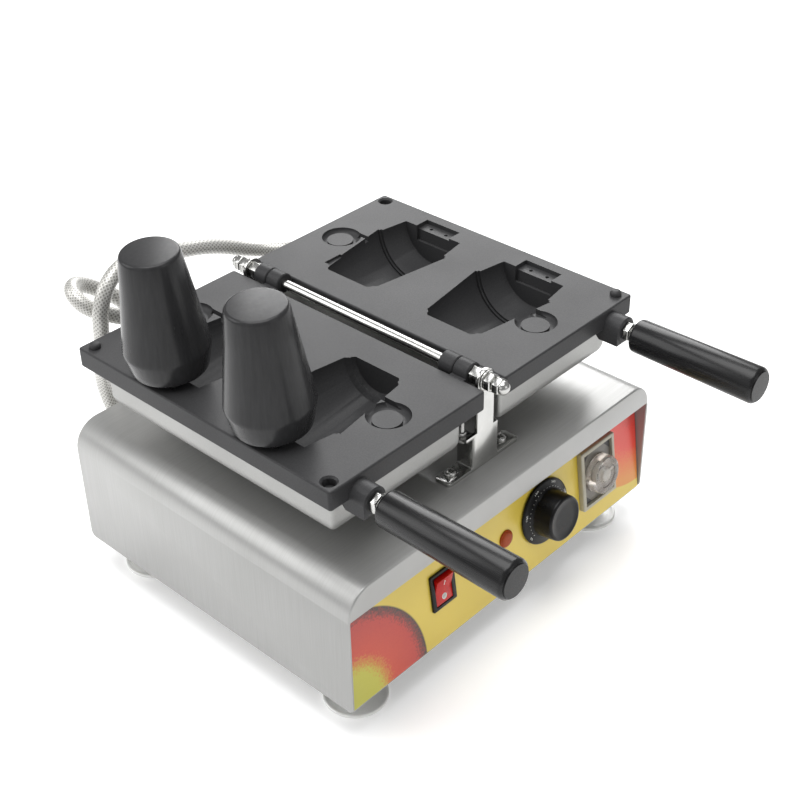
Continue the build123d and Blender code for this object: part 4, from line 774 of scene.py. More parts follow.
class FinishBook:
    """Every finish of the machine, made once and looked up by its plain name."""

    def __init__(self, layout: Layout) -> None:
        """Lists the finishes.

        Args:
            layout: The machine's axes, which place the film's print.
        """
        corner = layout.on_panel(-173, 2).translation
        far_corner = layout.on_panel(173, 86).translation
        brushing = (60.0, 0.9, 60.0)
        self._finishes = {
            # Stainless sheet, brushed along its long side and folded over: fine lines run over the top
            # and sides
            "casing": GrainedFinish(
                "brushed_stainless_sheet", "steel", light="#a9a9a8", dark="#9f9f9d", metallic=0.52,
                roughness=0.38, roughness_spread=0.05, grain=brushing, grain_depth=0.02,
                grain_strength=0.07, broad=80.0, broad_share=0.35,
            ),
            # Zinc plated mild steel: greyer and blotchier than the stainless sheet
            "plated": GrainedFinish(
                "zinc_plated_steel", "plated", light="#bdbdba", dark="#9c9c9a", metallic=1.0,
                roughness=0.4, roughness_spread=0.1, grain=(3, 3, 3), grain_depth=0.03,
                grain_strength=0.2, broad=20.0, broad_share=0.5,
            ),
            # Polished stainless strip, shaft and nuts: a soft mirror with a faint waviness
            "polished": GrainedFinish(
                "polished_stainless", "polished", light="#c4c4c2", dark="#b6b6b3", metallic=1.0,
                roughness=0.2, roughness_spread=0.05, grain=(8, 8, 8), grain_depth=0.005,
                grain_strength=0.05, broad=30.0, broad_share=0.5,
            ),
            # Turned and bright zinc plated feet, painted near white and barely metallic: a painted reflection
            # of the white floor in place of the plating's own, with a soft broad shine
            "foot": GrainedFinish(
                "plated_foot_painted_reflection", "polished", light="#f2f2f0", dark="#e6e6e3", metallic=0.15,
                roughness=0.3, roughness_spread=0.05, grain=(6, 6, 6), grain_depth=0.005,
                grain_strength=0.05, broad=30.0, broad_share=0.5,
            ),
            # Cast aluminium under a sprayed non-stick coat: dark grey with a fine orange peel
            "plate": GrainedFinish(
                "coated_casting", "iron", light="#3e3e3f", dark="#313132", metallic=0.0, roughness=0.4,
                roughness_spread=0.05, grain=(1.1, 1.1, 1.1), grain_depth=0.09, grain_strength=0.5,
                broad=70.0, broad_share=0.4, specular=0.14,
            ),
            # The same coat on the turned cores: smoother and glossier, its grain drawn out along them; the
            # faint colour streaks along them are painted reflections
            "core": GrainedFinish(
                "coated_core", "core", light="#323233", dark="#282829", metallic=0.0, roughness=0.24,
                roughness_spread=0.05, grain=(3.0, 3.0, 30.0), grain_depth=0.05, grain_strength=0.14,
                broad=40.0, broad_share=0.4, specular=0.2,
            ),
            # Pressed aluminium sheet, bead blasted: pale and even
            "cover": GrainedFinish(
                "blasted_aluminium", "cover", light="#a9a9a7", dark="#9f9f9d", metallic=0.6,
                roughness=0.42, roughness_spread=0.05, grain=(1.2, 1.2, 1.2), grain_depth=0.03,
                grain_strength=0.25, broad=60.0, broad_share=0.5,
            ),
            # Phenolic moulding, turned and buffed: black, its grain drawn along the grip; the grey streaks in
            # its colour are painted highlights
            "grip": GrainedFinish(
                "black_phenolic_painted_highlights", "bakelite", light="#1d1d1e", dark="#0e0e0f", metallic=0.0,
                roughness=0.26, roughness_spread=0.08, grain=(1.6, 60.0, 1.6), grain_depth=0.05,
                grain_strength=0.4, broad=50.0, broad_share=0.3, specular=0.3,
            ),
            # Black ABS mouldings with a light spark texture: a soft sheen on the edges
            "black": GrainedFinish(
                "spark_textured_abs", "black_plastic", light="#0a0a0b", dark="#060607", metallic=0.0,
                roughness=0.28, roughness_spread=0.06, grain=(0.6, 0.6, 0.6), grain_depth=0.03,
                grain_strength=0.3, broad=20.0, broad_share=0.4, specular=0.22,
            ),
            # Amber acrylic lens, unlit: deep orange and a little milky
            "lamp": GrainedFinish(
                "amber_lens", "lamp", light="#a8440e", dark="#84330a", metallic=0.0, roughness=0.4,
                roughness_spread=0.05, grain=(1.5, 1.5, 1.5), grain_depth=0.1, grain_strength=0.5,
                broad=8.0, broad_share=0.5, coat=0.1, specular=0.15,
            ),
            # Red polycarbonate, moulded: a strong colour under a clean gloss
            "rocker": GrainedFinish(
                "red_polycarbonate", "red_plastic", light="#c41410", dark="#a00c0a", metallic=0.0,
                roughness=0.22, roughness_spread=0.04, grain=(2, 2, 2), grain_depth=0.02,
                grain_strength=0.15, broad=10.0, broad_share=0.5, coat=0.05, specular=0.2,
            ),
            # Grey ABS frame, moulded: warm grey and matt
            "timer_frame": GrainedFinish(
                "grey_abs", "grey_plastic", light="#b3ae9d", dark="#a39e8e", metallic=0.0,
                roughness=0.4, roughness_spread=0.05, grain=(0.8, 0.8, 0.8), grain_depth=0.02,
                grain_strength=0.2, broad=20.0, broad_share=0.5,
            ),
            # Silk-screened sheet behind the clear knob: a darker warm grey
            "timer_face": GrainedFinish(
                "silk_screened_face", "grey_plastic", light="#76726a", dark="#68655e", metallic=0.0,
                roughness=0.35, roughness_spread=0.05, grain=(0.8, 0.8, 0.8), grain_depth=0.02,
                grain_strength=0.2, broad=20.0, broad_share=0.5,
            ),
            # Dark ABS: bodies and printed ticks; also the painted shade in the four corners of the timer's
            # sunk face
            "dark": GrainedFinish(
                "dark_abs_and_painted_shade", "dark_plastic", light="#333230", dark="#262524", metallic=0.0,
                roughness=0.45, roughness_spread=0.05, grain=(0.8, 0.8, 0.8), grain_depth=0.02,
                grain_strength=0.2, broad=20.0, broad_share=0.5,
            ),
            # White print: matt and just proud of the plastic
            "ink": GrainedFinish(
                "white_print", "grey_plastic", light="#e9e9e4", dark="#dadad4", metallic=0.0,
                roughness=0.5, roughness_spread=0.05, grain=(0.5, 0.5, 0.5), grain_depth=0.01,
                grain_strength=0.1, broad=5.0, broad_share=0.5,
            ),
            # Nickel plated brass, turned: a warm metal shine
            "brass": GrainedFinish(
                "nickel_plated_brass", "brass", light="#c9c3b2", dark="#b3ac98", metallic=1.0,
                roughness=0.28, roughness_spread=0.05, grain=(4, 4, 1), grain_depth=0.01,
                grain_strength=0.1, broad=15.0, broad_share=0.5,
            ),
            # Steatite, fired and unglazed: cream and chalky
            "ceramic": GrainedFinish(
                "steatite", "ceramic", light="#e3ded2", dark="#d4cdbd", metallic=0.0, roughness=0.6,
                roughness_spread=0.05, grain=(1, 1, 1), grain_depth=0.05, grain_strength=0.3,
                broad=20.0, broad_share=0.5,
            ),
            # Ceramic fibre blanket: white, soft and without shine
            "wool": GrainedFinish(
                "ceramic_wool", "wool", light="#e4e0d6", dark="#c9c3b4", metallic=0.0, roughness=0.9,
                roughness_spread=0.05, grain=(0.8, 4.0, 0.8), grain_depth=0.4, grain_strength=0.8,
                broad=20.0, broad_share=0.4,
            ),
            # Acrylic, moulded clear: what is behind it shows softened and a little warm
            "clear": ClearFinish("clear_acrylic", "clear_plastic", "#dccdbd"),
            # Stainless wire braid over each hose: a small lattice of crossing wires
            "braid_right": BraidFinish("braided_stainless_right", "braid", 494.0),
            "braid_left": BraidFinish("braided_stainless_left", "braid", 351.0),
            # Polyester film, screen printed: an even satin with speckled edges to its colours
            "film": FilmFinish("printed_film", "film", corner, far_corner),
        }
        self._made: dict[str, bpy.types.Material] = {}

    def slot(self, name: str) -> str:
        """The record's slot that a finish belongs to."""
        return self._finishes[name].slot

    def material(self, name: str) -> bpy.types.Material:
        """Gives a finish's material, made on first use.

        Args:
            name: The finish's plain name.

        Returns:
            The material.
        """
        if name not in self._made:
            self._made[name] = self._finishes[name].build()
        return self._made[name]


@dataclass
class SubAssembly:
    """What every group of pieces shares: the layout, the finishes and how a piece is handed over."""

    layout: Layout
    finishes: FinishBook

    def dress(
        self, piece: bpy.types.Object, finish: str, body: str = "base", nodes: Sequence[str] = ()
    ) -> bpy.types.Object:
        """Gives a finished piece its material and body, and hides the CAD nodes it stands for.

        Args:
            piece: The piece, at the origin.
            finish: The finish's plain name.
            body: The body it rides on.
            nodes: CAD nodes that it replaces.

        Returns:
            The piece.
        """
        piece.data.materials.clear()
        piece.data.materials.append(self.finishes.material(finish))
        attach(piece, body)
        self.finishes.slot(finish)
        if nodes:
            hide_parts(*nodes)
        LOG.info("%s on %s in %s", piece.name, body, finish)
        return piece

    def paint(self, finish: str, *nodes: str) -> None:
        """Gives CAD nodes that stay a better material.

        Args:
            finish: The finish's plain name.
            *nodes: The nodes.
        """
        for node in nodes:
            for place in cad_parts[node].material_slots:
                place.material = self.finishes.material(finish)

    def refined(self, node: str, finish: str, body: str, width: float, name: str = "") -> bpy.types.Object:
        """Replaces a CAD node by a merged copy with rounded edges.

        Args:
            node: The CAD node.
            finish: The finish's plain name.
            body: The body it rides on.
            width: Width of the rounding in millimetres.
            name: The piece's name, if not the node's.

        Returns:
            The piece.
        """
        piece = merged_copy(node, name or f"{node}_form")
        soften(piece, width, 2)
        return self.dress(piece, finish, body, (node,))


@dataclass
class Casing(SubAssembly):
    """The folded casing, its sheets and feet."""

    corner: float = 22.0
    sheet: float = 1.5
    side_corner: float = 5.0
    fold: float = 1.6
    foot_radius: float = 24.8
    stem_radius: float = 4.0

    def build(self) -> None:
        """Makes the casing's pieces."""
        self._shell()
        self._feet()
        self._stems()
        self.paint("casing", "back_panel")
        self.paint("plated", "base_plate", "base_screws", "control_panel")
        self.paint("film", "panel_overlay")
        self.paint("ceramic", "terminal_block", "thermostat_body")
        self.paint("dark", "timer_body")

    def _shell(self) -> None:
        """The folded sheet: a box opened below and behind, rounded along the top, lipped in front."""
        low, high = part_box("casing_shell")
        shell = box_piece("casing_sheet", low, high)
        lip_foot = high.z - self.corner * MM
        with editing(shell) as mesh:
            pick(mesh.faces, lambda face: face.normal.z < -0.9 or face.normal.y > 0.9)
            bpy.ops.mesh.delete(type="FACE")
        with editing(shell, "EDGE") as mesh:
            pick(mesh.edges, lambda edge: along(edge, 1) and middle(edge).z > high.z - NEAR)
            bpy.ops.mesh.bevel(offset=self.corner * MM, segments=18, affect="EDGES")
        with editing(shell, "FACE") as mesh:
            pick(mesh.faces, lambda face: face.normal.y < -0.9)
            bpy.ops.mesh.bisect(plane_co=(0, 0, lip_foot), plane_no=(0, 0, 1))
        with editing(shell, "FACE") as mesh:
            pick(mesh.faces, lambda face: face.normal.y < -0.9 and middle(face).z < lip_foot)
            bpy.ops.mesh.delete(type="FACE")
        with editing(shell, "EDGE") as mesh:
            pick(mesh.edges, lambda edge: self._front_fold(edge, low, lip_foot))
            bpy.ops.mesh.bevel(offset=self.fold * MM, segments=4, affect="EDGES")
        with editing(shell, "VERT") as mesh:
            pick(mesh.verts, lambda vert: vert.co.z < low.z + NEAR)
            bpy.ops.mesh.bevel(offset=self.side_corner * MM, segments=6, affect="VERTICES")
        focus(shell)
        bpy.ops.object.modifier_add(type="SOLIDIFY")
        shell.modifiers[-1].thickness = self.sheet * MM
        shell.modifiers[-1].offset = -1
        bpy.ops.object.modifier_apply(modifier=shell.modifiers[-1].name)
        soften(shell, 0.25, 2, 40)
        self.dress(shell, "casing", "base", ("casing_shell",))

    def _front_fold(self, edge: bmesh.types.BMEdge, low: Vector, lip_foot: float) -> bool:
        """Whether an edge lies on the fold between the lip and the top."""
        on_front = all(abs(vert.co.y - low.y) < NEAR for vert in edge.verts)
        above = all(vert.co.z > lip_foot - NEAR for vert in edge.verts)
        return on_front and above and len(edge.link_faces) == 2 and middle(edge).z > lip_foot

    def _feet(self) -> None:
        """Four turned feet with a polished rim and a dished web."""
        radius = self.foot_radius
        profile = (
            (radius - 1.5, 0), (radius, 0.8), (radius, 2.8), (radius - 0.8, 3.4), (radius - 1.8, 3.4),
            (radius - 2.8, 2.9), (radius - 6, 2.3), (14, 2.4), (10, 3.4), (8.6, 5.0), (8.2, 8.0), (7.6, 9.0),
        )
        foot = turned_piece("foot_disc", profile)
        soften(foot, 0.3, 2, 25)
        low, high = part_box("feet")
        span = radius * MM
        places = [
            Vector((x, y, 0))
            for x in (low.x + span, high.x - span)
            for y in (low.y + span, high.y - span)
        ]
        feet = [copied(foot, "foot", Matrix.Translation(place)) for place in places]
        bpy.data.objects.remove(foot)
        self.dress(joined(feet, "turned_feet"), "foot", "base", ("feet",))

    def _stems(self) -> None:
        """The feet's threaded stems, with shallow thread ridges and their nuts."""
        low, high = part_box("feet")
        span = self.foot_radius * MM
        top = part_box("base_plate")[0].z / MM
        start, pitch, flank, depth = 8.5, 1.25, 0.6, 0.5
        ridges = [(self.stem_radius, start)]
        height = start + 0.5
        while height < top - 6:
            ridges += [(self.stem_radius, height), (self.stem_radius - depth, height + flank)]
            height += pitch
        ridges.append((self.stem_radius, top + 9))
        stem = turned_piece("stem_thread", ridges, SMALL_SIDES)
        nut_profile = ((6.6, top - 5), (7.5, top - 4.6), (7.5, top - 0.4), (6.9, top))
        nut = turned_piece("stem_nut", nut_profile, HEX_SIDES)
        pair = joined([stem, nut], "stem_pair")
        soften(pair, 0, 1, 30)
        copies = [
            copied(pair, "stem", Matrix.Translation((x, y, 0)))
            for x in (low.x + span, high.x - span)
            for y in (low.y + span, high.y - span)
        ]
        bpy.data.objects.remove(pair)
        self.dress(joined(copies, "threaded_stems"), "black", "base", ("foot_stems",))


@dataclass
class HingeStand(SubAssembly):
    """The two bent brackets, the shaft between them and its nuts."""

    shaft_radius: float = 4.0
    ear_face: float = 124.5
    nut_radius: float = 7.4
    nut_height: float = 6.0
    washer: float = 1.5
    acorn_hex: float = 6.0
    acorn_gap: float = 1.4
    dome_radius: float = 5.6
    ear_thickness: float = 3.0
    inner_nut_start: float = 112.1

    def build(self) -> None:
        """Makes the stand's pieces."""
        for node in ("hinge_bracket_front", "hinge_bracket_back"):
            self.refined(node, "polished", "base", 0.5, f"{node}_strip")
        for node in ("stop_bolt_front", "stop_bolt_back"):
            self.refined(node, "plated", "base", 0.2)
        self._shaft()
        self._nuts()
        self._screws()

    def _shaft(self) -> None:
        """The ground shaft with a small chamfer at each end."""
        low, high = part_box("hinge_shaft")
        length = (high.y - low.y) / MM
        radius = self.shaft_radius
        shaft = turned_piece(
            "ground_shaft", ((radius - 0.6, 0), (radius, 0.6), (radius, length - 0.6), (radius - 0.6, length))
        )
        settle(shaft, facing_y(Vector((self.layout.shaft.x, high.y, self.layout.shaft.z))))
        soften(shaft, 0, 1, 30)
        self.dress(shaft, "polished", "base", ("hinge_shaft",))

    def _nuts(self) -> None:
        """Washers, hexagon nuts and acorn nuts at both ends of the shaft."""
        radius, height = self.nut_radius, self.nut_height
        nut_profile = ((radius - 0.9, 0), (radius, 0.7), (radius, height - 0.7), (radius - 0.9, height))
        flat = radius - 0.6
        acorn_profile = (
            (radius - 1.4, 0), (flat, 0.6), (flat, self.acorn_hex - 0.5), (5.9, self.acorn_hex),
        )
        angles = [math.radians(10 * step) for step in range(0, 9)]
        dome = [
            (self.dome_radius * math.cos(a), self.acorn_hex + self.dome_radius * math.sin(a)) for a in angles
        ]
        start = self.ear_face
        outside = start + self.washer
        acorn_start = outside + height + self.acorn_gap
        inside_low = self.inner_nut_start
        washers, nuts = [], []
        for end in End:
            sign = end.value
            base = self.layout.shaft

            def place(distance: float, sign: int = sign, base: Vector = base) -> Matrix:
                """A place on the shaft at a distance from its middle, facing outwards."""
                return facing_y(base + Vector((0, sign * distance * MM, 0)), sign)

            ring = ((7.6, 0), (8, 0.3), (8, self.washer - 0.3), (7.6, self.washer))
            washers.append(settle(turned_piece("washer", ring), place(start)))
            nuts.append(settle(turned_piece("outer_nut", nut_profile, HEX_SIDES), place(outside)))
            inner_height = self.ear_face - self.ear_thickness - inside_low
            inner = (
                (radius - 0.9, 0), (radius, 0.7), (radius, inner_height - 0.7),
                (radius - 0.9, inner_height),
            )
            nuts.append(settle(turned_piece("inner_nut", inner, HEX_SIDES), place(inside_low)))
            nuts.append(settle(turned_piece("acorn_hex", acorn_profile, HEX_SIDES), place(acorn_start)))
            nuts.append(settle(turned_piece("acorn_dome", dome, SMALL_SIDES), place(acorn_start)))
        washer_pair = soften(joined(washers, "shaft_washer_pair"), 0.1, 2, 30)
        self.dress(washer_pair, "polished", "base", ("shaft_washers",))
        self.dress(soften(joined(nuts, "shaft_nut_set"), 0.25, 3, 30), "polished", "base", ("shaft_nuts",))

    def _screws(self) -> None:
        """Pan-head screws with a cross recess through the brackets' feet."""
        low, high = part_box("bracket_screws")
        profile = (
            (2.4, -6.2), (2.4, 0), (4.6, 0), (4.6, 0.9), (4.2, 1.9), (3.3, 2.5), (2.0, 2.8), (0.6, 2.85),
        )
        head = turned_piece("pan_head", profile, SMALL_SIDES)
        for turn in (0, 90):
            slot = box_piece("recess", Vector((-2.3, -0.5, 1.6)) * MM, Vector((2.3, 0.5, 3.6)) * MM)
            settle(slot, Matrix.Rotation(math.radians(turn + 20), 4, "Z"))
            cut(head, slot)
        soften(head, 0.15, 2, 35)
        top = high.z - 2.8 * MM
        span = 4.6 * MM
        screws = [
            copied(head, "bracket_screw", Matrix.Translation((x, y, top)))
            for x in (low.x + span, high.x - span)
            for y in (low.y + span, high.y - span)
        ]
        bpy.data.objects.remove(head)
        self.dress(joined(screws, "bracket_screw_set"), "polished", "base", ("bracket_screws",))


@dataclass
class MouldIron(SubAssembly):
    """One iron: its cast plate with the cup moulds, the cover below and the handle in front."""

    side: Side = Side.RIGHT
    plate_inner: float = 11.2
    plate_width: float = 156.7
    plate_length: float = 266.0
    thickness: float = 16.0
    parting: float = 0.15
    edge: float = 1.3
    knuckle_radius: float = 8.6
    knuckle_width: float = 13.4
    knuckle_start: float = 85.0
    knuckle_gap: float = 0.5
    cup_y: float = 54.0
    cup_profile: tuple[tuple[float, float], ...] = (
        (21.5, 39.5), (24.0, 42.0), (24.0, 43.5), (27.4, 46.0), (38.0, 116.5), (36.2, 116.5), (36.2, 118.3),
        (34.4, 118.3), (30.4, 143.3),
    )
    ear: tuple[float, float] = (82.5, 50.0)
    ear_disc: float = 11.0
    ear_ring: float = 16.5
    ear_depth: float = 5.0
    recess: tuple[float, float, float] = (13.7, 18.2, 3.8)
    pocket: tuple[float, float] = (2.5, 14.0)
    leaf_hole: tuple[float, float] = (151.0, 8.2)
    peg: tuple[float, float] = (159.0, 123.5)
    handle_reach: float = 141.0
    handle_drop: float = 14.5
    boss_radius: float = 10.5
    boss_length: float = 15.0
    cover_depth: float = 38.5
    cover_bosses: tuple[tuple[float, float], ...] = ((46.0, 0.0), (134.0, 100.0), (134.0, -100.0))
    cover_boss_radius: float = 5.0
    wall: float = 4.2
    plate_corner: float = 2.5
    rim_round: float = 0.45
    shaft_bore: float = 4.05
    web_start: float = 2.0
    web_rise: tuple[float, float] = (-14.1, -0.6)
    heel_depth: float = 12.5
    heel_slope: float = 9.35
    groove_shift: tuple[float, float] = (4.1, 2.5)
    neck_shift: float = 16.8
    neck_half_width: float = 2.2
    neck_span: tuple[float, float] = (26.0, 46.0)
    strip_reach: tuple[float, float] = (46.0, 64.0)
    strip_span: tuple[float, float] = (20.0, 32.0)
    strip_depth: float = 2.2
    over: float = 2.0

    @property
    def peg_sign(self) -> int:
        """Which end the locating peg stands at: the front on the right iron, the back on the left."""
        return -self.side.value

    def spot(self, reach: float, y: float, rise: float) -> Vector:
        """A point on this iron."""
        return self.layout.on_iron(self.side, reach, y, rise)

    def block(self, name: str, low: Sequence[float], high: Sequence[float]) -> bpy.types.Object:
        """A box on this iron between two corners given as reach, y and rise."""
        return box_piece(name, self.spot(*low), self.spot(*high))

    def build(self) -> None:
        """Makes the iron's pieces."""
        word = self.side.word
        self._plate()
        self._peg()
        self._cover()
        self._handle()
        self._gland()
        self.paint("plated", f"{word}_cover_screws", f"{word}_heater")
        self.paint("wool", f"{word}_insulation")

    def _plate(self) -> None:
        """The cast plate, with knuckles and boss fused on and the moulds cut in."""
        half = self.plate_length / 2
        top = -self.parting
        under = top - self.thickness
        plate = self.block(
            f"{self.side.word}_cast_plate",
            (self.plate_inner, -half, under), (self.plate_inner + self.plate_width, half, top),
        )
        with editing(plate, "EDGE") as mesh:
            pick(mesh.edges, lambda edge: along(edge, 2))
            bpy.ops.mesh.bevel(offset=self.plate_corner * MM, segments=5, affect="EDGES")
        soften(plate, self.edge, 4, 40)
        for end in End:
            self._fuse_bowl(plate, end)
        self._fuse_cover_bosses(plate)
        self._fuse_knuckles(plate)
        self._fuse_boss(plate)
        for end in End:
            self._cut_mould(plate, end)
        self._cut_holes(plate)
        crease_flats(soften(plate, self.rim_round, 2, 38))
        self.dress(plate, "plate", self.side.body, (f"{self.side.word}_mould_plate",))

    def _fuse_bowl(self, plate: bpy.types.Object, end: End) -> None:
        """Adds the cast wall that bulges below the plate round one mould.

        Args:
            plate: The plate to add it to.
            end: The front or back mould.
        """
        centre = end.value * self.cup_y
        wall = self.wall
        foot_end, rim_radius = 50, 37
        grown = []
        for radius, reach in self.cup_profile:
            if reach < foot_end:
                reach -= wall
            elif radius <= rim_radius:
                reach += wall / 2
            grown.append((radius + wall, reach))
        mouth_radius, mouth = self.cup_profile[-1]
        grown[-1] = (mouth_radius + wall, mouth + wall)
        bowl = turned_piece("bowl", grown)
        quarter = Matrix.Rotation(self.side.value * math.pi / 2, 4, "Y")
        settle(bowl, Matrix.Translation(self.spot(0, centre, -self.parting)) @ quarter)
        mid_plate = -self.parting - self.thickness / 2
        clear = 60
        upper = self.block("upper_half", (20, centre - clear, mid_plate), (170, centre + clear, clear))
        cut(plate, cut(bowl, upper), "UNION")

    def _fuse_cover_bosses(self, plate: bpy.types.Object) -> None:
        """Adds the bosses inside the cover that its screws go into.

        Args:
            plate: The plate to add them to.
        """
        top = -self.parting - self.thickness + 1
        low = -self.parting - self.thickness - self.cover_depth + 1
        radius = self.cover_boss_radius
        for reach, y in self.cover_bosses:
            boss = turned_piece("cover_boss", ((radius, low), (radius, top)), SMALL_SIDES)
            settle(boss, Matrix.Translation(self.spot(reach, y, 0)))
            cut(plate, boss, "UNION")

    def _fuse_knuckles(self, plate: bpy.types.Object) -> None:
        """Adds the two knuckles with their webs.

        Args:
            plate: The plate to add them to.
        """
        outer = self.knuckle_start + self.knuckle_width + self.knuckle_gap
        starts = {Side.RIGHT: (self.knuckle_start, outer), Side.LEFT: (outer, self.knuckle_start)}
        for end, start in zip(End, starts[self.side]):
            sign = end.value
            radius, width = self.knuckle_radius, self.knuckle_width
            profile = ((radius - 0.8, 0), (radius, 0.8), (radius, width - 0.8), (radius - 0.8, width))
            bar = turned_piece("knuckle", profile, KNUCKLE_SIDES)
            settle(bar, facing_y(self.spot(0, sign * start, 0), sign))
            cut(plate, bar, "UNION")
            under, top = self.web_rise
            web = self.block(
                "knuckle_web", (self.web_start, sign * start, under),
                (self.plate_inner + 3, sign * (start + width), top),
            )
            cut(plate, web, "UNION")
        bore = turned_piece("bore", ((self.shaft_bore, -150), (self.shaft_bore, 150)), BORE_SIDES)
        settle(bore, facing_y(self.spot(0, 0, 0)))
        cut(plate, bore)

    def _fuse_boss(self, plate: bpy.types.Object) -> None:
        """Adds the boss that takes the handle's rod: round on top, square below, with a sloping heel.

        Args:
            plate: The plate to add it to.
        """
        half = self.plate_length / 2
        radius, length = self.boss_radius, self.boss_length
        profile = ((radius, -3), (radius, length - 1.0), (radius - 1.0, length))
        boss = turned_piece("boss", profile, BOSS_SIDES)
        settle(boss, facing_y(self.spot(self.handle_reach, -half, -self.handle_drop)))
        lower = self.block(
            "boss_foot",
            (self.handle_reach - radius, -half - length + 1, -self.handle_drop - radius),
            (self.handle_reach + radius, -half + 3, -self.handle_drop),
        )
        cut(boss, lower, "UNION")
        cut(plate, boss, "UNION")
        floor = self.spot(0, 0, -self.handle_drop - radius).z
        back = self.spot(0, -half + self.heel_depth, 0).y
        heel = self.block(
            "boss_heel", (self.handle_reach - radius, -half + 1, -self.handle_drop - radius),
            (self.handle_reach + radius, -half + self.heel_depth, 1 - self.parting - self.thickness),
        )
        with editing(heel, "EDGE") as mesh:
            pick(
                mesh.edges,
                lambda edge: along(edge, 0)
                and abs(middle(edge).z - floor) < MM
                and abs(middle(edge).y - back) < MM,
            )
            bpy.ops.mesh.bevel(offset=self.heel_slope * MM, segments=1, affect="EDGES")
        cut(plate, heel, "UNION")

    def _cut_mould(self, plate: bpy.types.Object, end: End) -> None:
        """Sinks one cup mould with its ear groove and neck, hinge recess and pocket.

        The back mould also has a narrow shallow strip beside it.

        Args:
            plate: The plate to cut.
            end: The front or back mould.
        """
        centre = end.value * self.cup_y
        top = -self.parting
        cup = turned_piece("cup_tool", self.cup_profile, MOULD_SIDES)
        quarter = Matrix.Rotation(self.side.value * math.pi / 2, 4, "Y")
        settle(cup, Matrix.Translation(self.spot(0, centre, top)) @ quarter)
        cut(plate, cup)
        cut(plate, self._ear_tool(end))
        outward = end.value
        neck_reach = self.ear[0] + self.side.value * self.neck_shift
        neck_start, neck_end = (centre + outward * y for y in self.neck_span)
        neck = self.block(
            "ear_neck", (neck_reach - self.neck_half_width, neck_start, top - self.ear_depth + 0.6),
            (neck_reach + self.neck_half_width, neck_end, self.over),
        )
        cut(plate, neck)
        if end is End.BACK:
            strip_start, strip_end = (centre + outward * y for y in self.strip_span)
            strip = self.block(
                "edge_strip", (self.strip_reach[0], strip_start, top - self.strip_depth),
                (self.strip_reach[1], strip_end, self.over),
            )
            cut(plate, strip)
        length, half_width, depth = self.recess
        mouth = self.cup_profile[-1][1]
        leaf = self.block(
            "recess_tool", (mouth - 0.5, centre - half_width, top - depth),
            (mouth + length, centre + half_width, self.over),
        )
        cut(plate, leaf)
        pocket_length, pocket_depth = self.pocket
        pocket = self.block(
            "pocket_tool", (mouth - 0.5, centre - half_width, top - pocket_depth),
            (mouth + pocket_length, centre + half_width, self.over),
        )
        cut(plate, pocket)

    def _ear_tool(self, end: End) -> bpy.types.Object:
        """The tool for the cup's ear: a round-bottomed ring, wide on one side, narrow on the other.

        Args:
            end: The front or back mould.

        Returns:
            The tool.
        """
        top = -self.parting
        reach, offset = self.ear
        y = end.value * (self.cup_y + offset)
        ring, depth = self.ear_ring, self.ear_depth
        profile = (
            (ring - 4.6, -depth), (ring - 2.6, -depth + 0.5), (ring - 0.9, -depth + 1.8),
            (ring, -depth + 3.4), (ring, 1.5),
        )
        shift, back = self.groove_shift
        bowl = turned_piece("ear_bowl", profile, EAR_SIDES)
        settle(bowl, Matrix.Translation(self.spot(reach + self.side.value * shift, y + back, top)))
        disc = turned_piece("ear_disc", ((self.ear_disc, -depth - 2), (self.ear_disc, 3)), EAR_SIDES)
        settle(disc, Matrix.Translation(self.spot(reach, y, top)))
        return cut(bowl, disc)

    def _cut_holes(self, plate: bpy.types.Object) -> None:
        """Drills the peg's hole and the leaf screws' holes.

        Args:
            plate: The plate to drill.
        """
        top = -self.parting
        reach, y = self.peg
        hole = turned_piece("peg_hole", ((5.1, -7), (5.1, -1.4), (6.5, 0), (6.5, 1.5)), PEG_SIDES)
        settle(hole, Matrix.Translation(self.spot(reach, -self.peg_sign * y, top)))
        cut(plate, hole)
        hole_reach, hole_y = self.leaf_hole
        for end in End:
            for sign in (-1, 1):
                drill = turned_piece("leaf_hole", ((1.6, -9.8), (1.6, -3.0)), DRILL_SIDES)
                place = self.spot(hole_reach, end.value * self.cup_y + sign * hole_y, top)
                settle(drill, Matrix.Translation(place))
                cut(plate, drill)

    def _peg(self) -> None:
        """The domed locating peg with its flat ring round the foot."""
        reach, y = self.peg
        radius = 4.6
        profile = (
            (radius - 1.5, -5), (radius - 1.5, 0), (radius, 0), (radius, 2.0), (radius - 0.4, 3.0),
            (radius - 1.3, 3.8), (radius - 2.6, 4.2),
        )
        peg = turned_piece(f"{self.side.word}_peg", profile, PEG_SIDES)
        settle(peg, Matrix.Translation(self.spot(reach, self.peg_sign * y, -self.parting)))
        soften(peg, 0, 1, 30)
        self.dress(peg, "plate", self.side.body, (f"{self.side.word}_locating_peg",))

    def _cover(self) -> None:
        """The pressed heater cover: the solid's own pan, with its triangles merged and its bends smooth."""
        word = self.side.word
        pan = merged_copy(f"{word}_heater_cover", f"{word}_cover_pan")
        crease_flats(soften(pan, 0, 1, 40))
        self.dress(pan, "cover", self.side.body, (f"{word}_heater_cover",))

